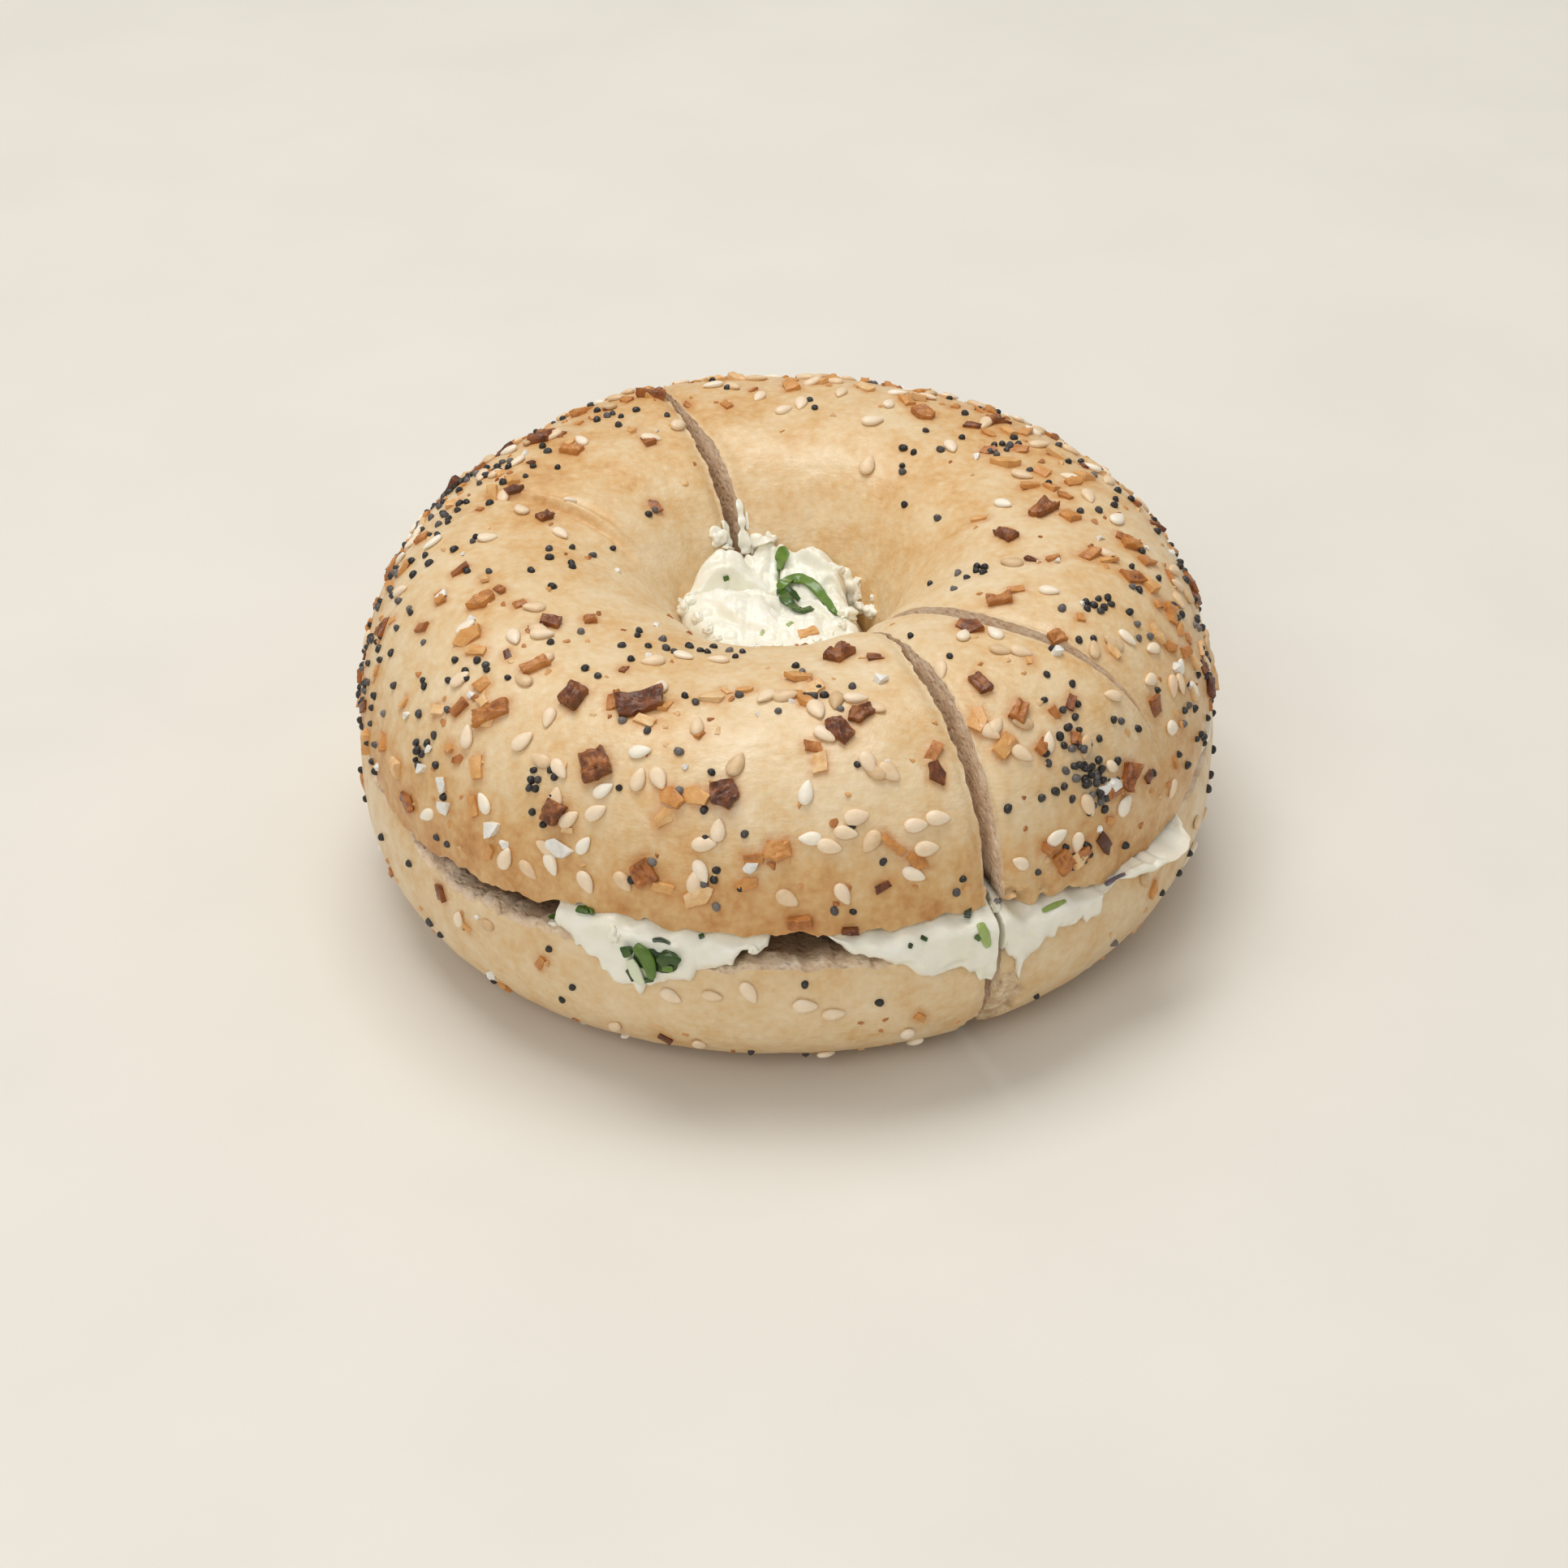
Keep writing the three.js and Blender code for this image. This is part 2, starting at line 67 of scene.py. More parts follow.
dough = {
    "radius": 57.3, "holeRadius": 10.7, "crest": 46.9, "belt": 17.5, "basePressed": 0.6,
    "upperSquareness": 2.47, "lowerSquareness": 2.68, "rimRoughness": 0.7, "faceDent": 0.22, "lipGap": 0.15,
    "tuckHeight": 3.2, "steps": 660, "halfDepth": 22,
}
topHalf = {"up": 1, "rim": 24.5, "inner": 27.4, "tuck": 1.1, "crustStep": 0.5, "faceSteps": 52,
           "waves": [(0, 42, 1.2), (-98, 40, 1.7), (-45, 12, -2.4), (180, 38, -2.0), (-20, 15, -1.9),
                     (-137, 14, -1.1)]}
bottomHalf = {"up": -1, "rim": 20.6, "inner": 20.2, "tuck": 0.5, "crustStep": 0.55, "faceSteps": 52,
              "waves": [(180, 48, 1.6), (-92, 16, -1.2), (-55, 18, -1.9), (0, 30, 0.8)]}
knifeCut = {"slope": -0.41, "shift": 1.9, "step": 2.1, "at": -6, "length": 12, "lowerShare": 0.7,
            "slant": 0.92, "end": 66, "base": -4, "top": 56, "far": 90, "mesh": 0.42, "narrowest": 0.17,
            "widths": [(-64, 1.2), (-45, 1.3), (-33, 1.35), (-27, 0.6), (-22, 0.24), (0, 0.8),
                       (14, 1.45), (25, 1.25), (33, 0.6), (64, 0.6)]}
knifeMark = {"from": 13.0, "to": 47.0, "lowX": 50.0, "lowY": -28.8, "bend": 0.012, "half": 1.15,
             "floor": 30.0, "top": 58, "steps": 110, "mesh": 0.45}
seam = {"from": (-42.0, 13.6), "to": (-19.0, 1.0), "bow": 1.2, "width": 0.62, "depth": 0.95, "above": 38}
# Where the bottom half's crust is torn off: angle, height, half width in degrees, half height and depth.
tears = [(-61.9, 8.2, 2.3, 5.2, 1.0), (-65.6, 4.0, 0.9, 3.0, 2 / 3)]
# Where the top half's lip is thin and crumpled, beside the cut.
lipCrinkle = {"at": -60, "width": 4.0, "size": 2.6}
# Where a half's skin ends lower than its rim: angle, half width and drop.
topDrops = [(-146, 14, 1.0), (-127, 9, 0.5), (-112, 13, 0.8), (-93, 9, 1.7), (-74, 9, 1.5), (-60.5, 2.6, 1.0),
            (-57, 1.0, 0.5), (-49, 7, 1.7), (-36, 9, 1.2), (-30, 7, 1.6)]
bottomDrops = [(-134, 9, 2.0), (-121, 8, 0.6)]


def turnBetween(u, at):
    return (np.degrees(u) - at + 180) % 360 - 180


def waves(u, terms):
    return sum(rise * bell(turnBetween(u, at), width) for at, width, rise in terms)


def ragged(t, size):
    return size * (0.5 * np.sin(t * 1.9 + 1) + 0.3 * np.sin(t * 4.3 + 2.2) + 0.2 * np.sin(t * 9.1))


def smooth(x, low=0.0, high=1.0):
    t = np.clip((x - low) / (high - low), 0, 1)
    return t * t * (3 - 2 * t)


def mix(a, b, t):
    return a + (b - a) * t


def bell(gap, width):
    return np.exp(-((gap / width) ** 2))


def outerRadius(u):
    return dough["radius"] - 1.03 * np.cos(2 * u) + 0.27 * np.cos(3 * u) + 0.13 * np.sin(3 * u)


def topHeight(u):
    return dough["crest"] + 0.6 * np.cos(u) + 1.3 * np.sin(u)


def rimHeight(u, half):
    return half["rim"] + waves(u, half["waves"]) + ragged(u * 9 + half["rim"], dough["rimRoughness"])


def lipHeight(u, half):
    # Height at which the half's skin ends. The top half's lip doesn't come down into the bottom half.
    if half["up"] < 0:
        return rimHeight(u, half) - waves(u, bottomDrops)
    return np.maximum(rimHeight(u, half) - waves(u, topDrops), lipHeight(u, bottomHalf) + dough["lipGap"])


def faceHeight(u, half, radius):
    share = (radius - dough["holeRadius"]) / (outerRadius(u) - dough["holeRadius"])
    return mix(half["inner"], lipHeight(u, half), share)


def sectionSpan(u):
    # Middle radius and half width of the ring's rounded-square section.
    outer, inner = outerRadius(u), dough["holeRadius"]
    return (outer + inner) / 2, (outer - inner) / 2


def sectionSide(u, upper):
    # Reach from the belt and squareness of the section's upper or lower side.
    reach = np.where(upper, topHeight(u) - dough["belt"], dough["belt"] + dough["basePressed"])
    return reach, np.where(upper, dough["upperSquareness"], dough["lowerSquareness"])


def sectionPoint(u, w):
    # Radius and height on the whole ring's section at section angle w.
    middle, halfWidth = sectionSpan(u)
    upper = np.sin(w) >= 0
    reach, squareness = sectionSide(u, upper)
    height = dough["belt"] + np.sign(np.sin(w)) * reach * np.abs(np.sin(w)) ** (2 / squareness)
    lump = 0.25 * np.sin(3 * u + 2 * w) + 0.2 * np.sin(5 * u - 3 * w + 1) + 0.14 * np.sin(11 * u + 4 * w)
    height = height + np.where(upper, lump * np.sin(w), 0)
    radius = middle + np.sign(np.cos(w)) * halfWidth * np.abs(np.cos(w)) ** (2 / squareness)
    return radius, np.maximum(height, 0)


def sectionAngle(u, height):
    upper = height >= dough["belt"]
    reach, squareness = sectionSide(u, upper)
    share = np.clip(np.abs(height - dough["belt"]) / reach, 0, 1)
    return np.where(upper, 1, -1) * np.arcsin(share ** (squareness / 2))


def crustRadius(u, height):
    return sectionPoint(u, sectionAngle(u, height))[0]


def wallRadius(u, height):
    return sectionPoint(u, math.pi - sectionAngle(u, height))[0]


def cutCentre(y):
    k = knifeCut
    return k["slope"] * y + k["shift"] - k["step"] * np.tanh((y - k["at"]) / k["length"])


def cutHalfWidth(y):
    places, widths = np.array(knifeCut["widths"]).T
    return np.interp(y, places, widths)


def knifeGap(x, y, half):
    # Distance from the side of the knife cut, less than nothing inside it.
    share = 1.0 if half["up"] > 0 else knifeCut["lowerShare"]
    return np.abs(x - cutCentre(y)) * knifeCut["slant"] - cutHalfWidth(y) * share


def markGap(x, y):
    # Distance from the second knife mark, large past its ends.
    k = knifeMark
    gap = np.abs(y - k["lowY"] - k["bend"] * (x - k["lowX"]) ** 2)
    past = np.maximum(0, np.maximum(k["from"] - x, x - k["to"]))
    return np.hypot(gap, past)


def latticeValues(cell, seed):
    n = (cell[..., 0] * 374761393 + cell[..., 1] * 668265263 + cell[..., 2] * 1440662683 + seed * 974634777)
    n = n & 0x7FFFFFFF
    n = ((n ^ (n >> 13)) * 1274126177) & 0x7FFFFFFF
    return ((n ^ (n >> 16)) & 0xFFFF) / 32767.5 - 1


def noise(points, size, seed=0):
    scaled = points / size
    base = np.floor(scaled).astype(np.int64)
    part = scaled - base
    part = part * part * part * (part * (part * 6 - 15) + 10)
    total = np.zeros(points.shape[:-1])
    for corner in range(8):
        offset = np.array([corner & 1, corner >> 1 & 1, corner >> 2 & 1])
        weight = np.prod(np.where(offset == 1, part, 1 - part), axis=-1)
        total += weight * latticeValues(base + offset, seed)
    return total


def layeredNoise(points, size, seed=0, layers=3):
    return sum(noise(points, size / 2 ** k, seed + k) / 2 ** k for k in range(layers)) / 1.6


def cellGap(points, size, seed=0):
    # Distance to the nearest of a set of scattered points, in cell sizes.
    scaled = points / size
    base = np.floor(scaled).astype(np.int64)
    best = np.full(points.shape[:-1], 9.0)
    for dx in (-1, 0, 1):
        for dy in (-1, 0, 1):
            for dz in (-1, 0, 1):
                cell = base + np.array([dx, dy, dz])
                centre = np.stack([latticeValues(cell, seed + k) * 0.5 + 0.5 for k in range(3)], axis=-1)
                best = np.minimum(best, np.linalg.norm(cell + centre - scaled, axis=-1))
    return best


def meshFrom(name, points, faces, materials, faceMaterial=None):
    # points in millimetres about the hole's axis, faces as an array of quads or triangles
    mesh = bpy.data.meshes.new(name)
    faces = np.asarray(faces, np.int32)
    corners = faces.shape[1]
    mesh.vertices.add(len(points))
    mesh.vertices.foreach_set("co", ((points + holeAxis) * mm).astype(np.float32).ravel())
    mesh.loops.add(faces.size)
    mesh.loops.foreach_set("vertex_index", faces.ravel())
    mesh.polygons.add(len(faces))
    mesh.polygons.foreach_set("loop_start", np.arange(0, faces.size, corners, dtype=np.int32))
    for material in materials:
        mesh.materials.append(material)
    if faceMaterial is not None:
        mesh.polygons.foreach_set("material_index", np.asarray(faceMaterial, np.int32))
    mesh.update(calc_edges=True)
    mesh.validate()
    return sceneObject(name, mesh)


def sceneObject(name, data):
    made = bpy.data.objects.new(name, data)
    bpy.context.scene.collection.objects.link(made)
    return made


def meshOfForm(form, name):
    mesh = bpy.data.meshes.new(name)
    form.to_mesh(mesh)
    form.free()
    return mesh


def pointsOf(mesh):
    flat = np.empty(len(mesh.vertices) * 3, np.float32)
    mesh.vertices.foreach_get("co", flat)
    return flat.reshape(-1, 3).astype(float) / mm - holeAxis


def setAttribute(mesh, name, values):
    attribute = mesh.attributes.get(name) or mesh.attributes.new(name, "FLOAT", "POINT")
    attribute.data.foreach_set("value", np.asarray(values, np.float32).ravel())


def shadeSmooth(mesh, sharpAngle=None):
    mesh.polygons.foreach_set("use_smooth", np.ones(len(mesh.polygons), bool))
    if sharpAngle:
        mesh.set_sharp_from_angle(angle=sharpAngle * degree)
    mesh.update()


def turnOutwards(mesh):
    form = bmesh.new()
    form.from_mesh(mesh)
    bmesh.ops.recalc_face_normals(form, faces=form.faces)
    form.to_mesh(mesh)
    form.free()


def finishedMesh(piece):
    # The mesh that the object's modifiers make, with no modifier left.
    evaluated = piece.evaluated_get(bpy.context.evaluated_depsgraph_get())
    mesh = bpy.data.meshes.new_from_object(evaluated)
    piece.modifiers.clear()
    old = piece.data
    piece.data = mesh
    bpy.data.meshes.remove(old)
    return piece


def carve(piece, cutter):
    change = piece.modifiers.new("carve", "BOOLEAN")
    change.operation = "DIFFERENCE"
    change.solver = "MANIFOLD"
    change.object = cutter
    finishedMesh(piece)
    bpy.data.objects.remove(cutter)
    return piece


def gridFaces(rows, columns, wrapRows, wrapColumns):
    r = np.arange(rows if wrapRows else rows - 1)
    c = np.arange(columns if wrapColumns else columns - 1)
    a, b = np.meshgrid(r, c, indexing="ij")
    nextRow, nextColumn = (a + 1) % rows, (b + 1) % columns
    here, ahead = a * columns, nextRow * columns
    return np.stack([here + b, ahead + b, ahead + nextColumn, here + nextColumn]).reshape(4, -1).T


def gridNormals(points):
    # Outward normals of a grid that closes on itself along its first axis.
    along = np.roll(points, -1, axis=0) - np.roll(points, 1, axis=0)
    across = np.gradient(points, axis=1)
    normal = np.cross(along, across)
    return normal / np.maximum(np.linalg.norm(normal, axis=-1, keepdims=True), 1e-9)


def onRing(u, radius, height):
    return np.stack([radius * np.cos(u), radius * np.sin(u), height], axis=-1)


def ringPlaces(points):
    # Angle, radius and height of each point about the axis of the hole.
    return np.arctan2(points[:, 1], points[:, 0]), np.hypot(points[:, 0], points[:, 1]), points[:, 2]


crustRelief = {"swell": 0.3, "swellSize": 11, "dimple": 0.09, "dimpleSize": 3.2, "pebble": 0.028,
               "pebbleSize": 0.9, "lipDrop": 0.75, "lipWidth": 1.1, "lipAbove": 27, "markLipWidth": 1.9,
               "lowerLipDrop": 0.35, "lowerLipWidth": 0.8, "lipHighlight": 0.48, "wrinkle": 0.22}
crumbRelief = {"rough": 0.3, "roughSize": 2.4, "pore": 0.45, "poreSize": 2.1, "finePore": 0.2,
               "finePoreSize": 0.9, "fluff": 0.7}


def evenShares(half, u=-1.57):
    # Section shares with an even step along the crust, finer at the rim.
    rim, inner = rimHeight(u, half), half["inner"]
    start = float(sectionAngle(u, rim))
    end = math.pi * half["up"] - float(sectionAngle(u, inner))
    share = np.linspace(0, 1, 4000) ** 1.3
    radius, height = sectionPoint(u, start + (end - start) * share)
    length = np.concatenate([[0], np.cumsum(np.hypot(np.diff(radius), np.diff(height)))])
    step = half["crustStep"] * mix(0.55, 1.0, smooth(length, 1.0, 6.0))
    count = np.concatenate([[0], np.cumsum(np.diff(length) / step[1:])])
    return np.interp(np.arange(0, int(count[-1]) + 1) * count[-1] / int(count[-1]), count, share)


def seamGap(points):
    # How far a point lies across the dough seam, and how near it is to the seam's middle.
    start, end = np.array(seam["from"]), np.array(seam["to"])
    run = end - start
    length = np.linalg.norm(run)
    flat = points[..., :2] - start
    along = flat @ run / length ** 2
    across = (flat[..., 0] * -run[1] + flat[..., 1] * run[0]) / length
    bow = seam["bow"] * np.sin(math.pi * np.clip(along, 0, 1))
    return across - bow, np.sin(math.pi * np.clip(along, 0, 1)) ** 0.6


def crumbSurface(points, seed):
    # Torn open texture of the cut crumb, as a depth in millimetres.
    k = crumbRelief
    rough = k["rough"] * layeredNoise(points, k["roughSize"], seed)
    pore = k["pore"] * (1 - smooth(cellGap(points, k["poreSize"], seed + 5), 0.12, 0.42))
    fine = k["finePore"] * (1 - smooth(cellGap(points, k["finePoreSize"], seed + 9), 0.1, 0.5))
    keep = smooth(noise(points, 4.0, seed + 11), -0.3, 0.5)
    return rough - pore * keep - fine


def tornShare(u, points):
    # 1 where the bottom half's crust is torn off, with an uneven edge.
    share = np.zeros(u.shape)
    for at, level, wide, tall, deep in tears:
        gap = np.hypot(turnBetween(u, at) / wide, (points[..., 2] - level) / tall)
        gap += 0.55 * layeredNoise(points, 1.5, 511, 2)
        share = np.maximum(share, smooth(gap, 1.15, 0.85) * deep)
    return share


def breadRing(name, half):
    u = np.arange(dough["steps"]) / dough["steps"] * 2 * math.pi
    share = evenShares(half)
    rim = rimHeight(u, half)
    start = sectionAngle(u, rim)
    inner = sectionAngle(u, np.full_like(u, half["inner"]))
    end = math.pi * half["up"] - inner
    w = start[:, None] + (end - start)[:, None] * share[None, :]
    around = np.broadcast_to(u[:, None], w.shape)
    radius, height = sectionPoint(around, w)
    low = np.clip(1 - np.abs(height - rim[:, None]) / dough["tuckHeight"], 0, 1)
    fall = (rim - lipHeight(u, half))[:, None]
    outer = w * half["up"] < math.pi / 2
    radius = radius - half["tuck"] * (1 - np.clip(fall, 0, 0.8)) * low ** 2 * outer
    height[:, 0], height[:, -1] = rim, half["inner"]
    height = height - fall * low ** (2 if half["up"] > 0 else 1) * outer
    crust = onRing(around, radius, height)

    normal = gridNormals(crust) * half["up"]
    outwards = np.sign(np.sum(normal * onRing(around, np.cos(w), np.sin(w)), axis=-1, keepdims=True))
    normal = normal * outwards
    k = crustRelief
    relief = k["swell"] * layeredNoise(crust, k["swellSize"], 3, 2)
    relief += k["dimple"] * layeredNoise(crust, k["dimpleSize"], 7, 2)
    relief += k["pebble"] * noise(crust, k["pebbleSize"], 9)
    x, y = crust[..., 0], crust[..., 1]
    cutGap = np.clip(knifeGap(x, y, half), 0, None)
    if half["up"] > 0:
        relief -= k["lipDrop"] * bell(cutGap, k["lipWidth"]) * (height > k["lipAbove"])
        relief -= 0.6 * k["lipDrop"] * bell(markGap(x, y), k["markLipWidth"]) * (height > knifeMark["floor"])
        across, near = seamGap(crust)
        groove = bell(across, seam["width"]) + 0.45 * bell(across - 2.3, 0.6) * near
        fold = bell(across - 1.2, 0.85) - 0.3 * bell(across + 2.2, 1.8)
        relief += seam["depth"] * (0.5 * fold - groove) * near * (height > seam["above"])
        pull = smooth(radius, 30, 16) * smooth(height, 31, 38)
        pulled = onRing(around, np.full_like(radius, 24), radius * 0.22)
        relief += k["wrinkle"] * pull * noise(pulled, 3.4, 21)
    else:
        relief -= k["lowerLipDrop"] * bell(cutGap, k["lowerLipWidth"])
        torn = tornShare(around, crust)
        relief -= torn * (0.7 + 0.5 * np.abs(noise(crust, 1.2, 515)) + 0.25 * np.abs(noise(crust, 0.6, 517)))
    flat = smooth(height, 0.0, 1.6) if half["up"] < 0 else 1.0
    lipTears = 0.22 * noise(crust, 1.3, 31) * bell(height - rim[:, None], 0.7) * (w * half["up"] < 1.5)
    crust = crust + normal * (relief * flat + lipTears)[..., None]
    crust[..., 2] = np.maximum(crust[..., 2], 0)
    crust[:, 0, 2] += 0.3 * noise(crust[:, 0], 1.1, 33) + 0.18 * noise(crust[:, 0], 0.5, 35)
    if half["up"] > 0:
        crinkle = lipCrinkle["size"] * bell(turnBetween(around, lipCrinkle["at"]), lipCrinkle["width"])
        crinkle = crinkle * low ** 2 * outer
        crust = crust + onRing(around, crinkle * noise(crust, 1.5, 37), crinkle * noise(crust, 1.7, 39))

    # The sliced face, from the hole back to the rim.
    back = np.linspace(0, 1, half["faceSteps"] + 1)[1:-1] ** 0.72
    face = mix(crust[:, -1][:, None, :], crust[:, 0][:, None, :], back[None, :, None])
    dent = ragged(u[:, None] * 7 + back[None, :] * 10, dough["faceDent"])
    fluff = crumbRelief["fluff"] * (np.abs(noise(face, 1.1, 43)) + 0.5 * np.abs(noise(face, 0.6, 45)))
    torn = crumbSurface(face, 41) * 0.8 + fluff * smooth(back, 0.86, 0.95)
    face[..., 2] += dent * np.sin(math.pi * back) - half["up"] * torn
    grid = np.concatenate([crust, face], axis=1)
    columns = grid.shape[1]
    faces = gridFaces(len(u), columns, True, True)
    sliced = (np.arange(len(faces)) % columns) >= share.size - 1
    piece = meshFrom(name, grid.reshape(-1, 3), faces, [crustFinish, crumbFinish], sliced)
    turnOutwards(piece.data)
    return piece


def knifeSide(side, share, phase, seed):
    # A block with one torn face, which takes away all that lies past one side of the knife cut.
    k = knifeCut
    y, z = np.arange(-k["end"], k["end"] + 0.01, k["mesh"]), np.arange(k["base"], k["top"] + 0.01, k["mesh"])
    across, up = np.meshgrid(y, z, indexing="ij")
    half = cutHalfWidth(across) * share + ragged(across * 0.7 + phase, 0.22)
    half = np.maximum(half, k["narrowest"])
    face = np.stack([cutCentre(across) - side * half, across, up], axis=-1)
    face[..., 0] += side * 0.55 * np.clip(crumbSurface(face, seed), -0.9, 0.12)
    rows, columns = across.shape
    count = rows * columns
    edge = np.concatenate([
        np.arange(columns), np.arange(1, rows) * columns + columns - 1,
        count - 2 - np.arange(columns - 1), np.arange(rows - 2, 0, -1) * columns])
    far = face.reshape(-1, 3)[edge]
    far[:, 0] = side * k["far"]
    back = count + np.arange(len(edge))
    sides = np.stack([edge, np.roll(edge, -1), np.roll(back, -1), back], axis=1)
    faces = gridFaces(rows, columns, False, False).tolist() + sides.tolist() + [back.tolist()]
    return blockOf("knifeSide", np.concatenate([face.reshape(-1, 3), far]), faces, [crustFinish, crumbFinish])


def blockOf(name, points, faces, materials):
    # A closed block through points in millimetres, with the last of its materials on every face.
    form = bmesh.new()
    corners = [form.verts.new(point) for point in points + holeAxis]
    for face in faces:
        form.faces.new([corners[k] for k in face]).material_index = len(materials) - 1
    bmesh.ops.recalc_face_normals(form, faces=form.faces)
    bmesh.ops.scale(form, vec=(mm, mm, mm), verts=form.verts)
    mesh = meshOfForm(form, name)
    for material in materials:
        mesh.materials.append(material)
    return sceneObject(name, mesh)


def bladeOf(name, left, right, materials):
    # A closed blade between two faces, each given as a grid of points.
    grid = np.concatenate([left, right[:, ::-1]], axis=1)
    rows, columns = grid.shape[:2]
    ends = np.arange(rows * columns).reshape(rows, columns)[[0, -1]].tolist()
    faces = gridFaces(rows, columns, False, True).tolist() + ends
    return blockOf(name, grid.reshape(-1, 3), faces, materials)


def markBlade():
    # The blade that leaves the second knife mark: two torn faces that meet at the shoulder.
    k = knifeMark
    share, z = np.linspace(0, 1, k["steps"]), np.arange(k["floor"], k["top"], k["mesh"])
    along, up = np.meshgrid(share, z, indexing="ij")
    x = k["from"] + (k["to"] - k["from"]) * along
    middle = k["lowY"] + k["bend"] * (x - k["lowX"]) ** 2
    half = k["half"] * (1 - along ** 2) + 0.06 + ragged(along * 30, 0.1) * (1 - along)
    half = half * mix(0.35, 1.0, smooth(up, k["floor"], 44))
    sides = [np.stack([x, middle + side * half, up], axis=-1) for side in (-1, 1)]
    for side, face in zip((-1, 1), sides):
        face[..., 1] -= side * 0.4 * np.clip(crumbSurface(face, 60 + side), -0.6, 0.1) * (1 - along)
    return bladeOf("markBlade", *sides, [crustFinish, crumbFinish])


def crustDepth(points):
    # Depth of a point under the ring's crust, in millimetres.
    u, radius, height = ringPlaces(points)
    middle, halfWidth = sectionSpan(u)
    reach, squareness = sectionSide(u, height >= dough["belt"])
    across, up = np.abs(radius - middle) / halfWidth, np.abs(height - dough["belt"]) / reach
    return (1 - (across ** squareness + up ** squareness) ** (1 / squareness)) * dough["halfDepth"]


def breadAttributes(piece, half):
    points = pointsOf(piece.data)
    u, radius, height = ringPlaces(points)
    depth = crustDepth(points)
    setAttribute(piece.data, "depth", np.clip(depth, 0, 20))
    setAttribute(piece.data, "bake", bakeShare(u, radius, height, points, half))
    x, y = points[:, 0], points[:, 1]
    # Painted highlight: a pale line along the lips of the knife cut, and of the knife mark on the top half;
    # on the bottom half the pale colour also marks where its crust is really torn off.
    tornAndHighlight = crustRelief["lipHighlight"] * bell(knifeGap(x, y, half), 0.4)
    if half["up"] > 0:
        marked = bell(markGap(x, y) - knifeMark["half"], 0.4) * (height > knifeMark["floor"])
        tornAndHighlight = np.maximum(tornAndHighlight, crustRelief["lipHighlight"] * marked)
    else:
        tornAndHighlight = np.maximum(tornAndHighlight, tornShare(u, points))
    setAttribute(piece.data, "torn", tornAndHighlight)
    # Painted shade: the sliced crumb faces between the halves are darkened, more the deeper they lie under
    # the crust.
    sliced = smooth(np.abs(height - faceHeight(u, half, radius)), 2.0, 1.0) * (radius > 30)
    setAttribute(piece.data, "damp", 0.85 * sliced * smooth(depth, 0.9, 4.2))


# Darker places round the crest: angle, half width in degrees, radius, half width in mm, and rise.
bakedPatches = [(160, 20, 37, 9, 0.12), (120, 18, 40, 8, 0.10), (30, 26, 44, 8, 0.05)]


def bakeShare(u, radius, height, points, half):
    # 0 is the palest crust and 1 the deepest gold.
    patches = layeredNoise(points, 15, 71, 3)
    if half["up"] < 0:
        bake = 0.25 + 0.06 * bell(turnBetween(u, -130), 38) + 0.14 * patches + 0.2 * smooth(height, 6, 0)
        return np.clip(bake, 0, 1)
    crestBand = bell(radius - 36, 13) * smooth(height, 38, 46)
    bake = 0.27 + 0.12 * crestBand * (0.65 + 0.35 * np.sin(u)) + 0.17 * patches
    bake += 0.30 * smooth(height, 40, 24) - 0.03 * smooth(radius, 28, 15)
    for at, wide, middle, reach, rise in bakedPatches:
        bake += rise * bell(turnBetween(u, at), wide) * bell(radius - middle, reach)
    bake -= 0.12 * bell(turnBetween(u, -78), 22) * smooth(height, 30, 40)
    bake += 0.10 * bell(turnBetween(u, -150), 32) * smooth(height, 40, 28)
    bake += 0.12 * bell(turnBetween(u, 20), 38) * smooth(radius, 36, 22)
    # Painted shade: the crust is darker along the groove of the dough seam.
    across, near = seamGap(points)
    bake += 0.12 * bell(across, 0.7) * near * (height > seam["above"]) * smooth(radius, 18, 24)
    return np.clip(bake, 0, 1)


def paint(red, green, blue):
    # screen colour to the linear values that the nodes take
    def linear(value):
        share = value / 255
        return share / 12.92 if share <= 0.04045 else ((share + 0.055) / 1.055) ** 2.4
    return (linear(red), linear(green), linear(blue), 1.0)


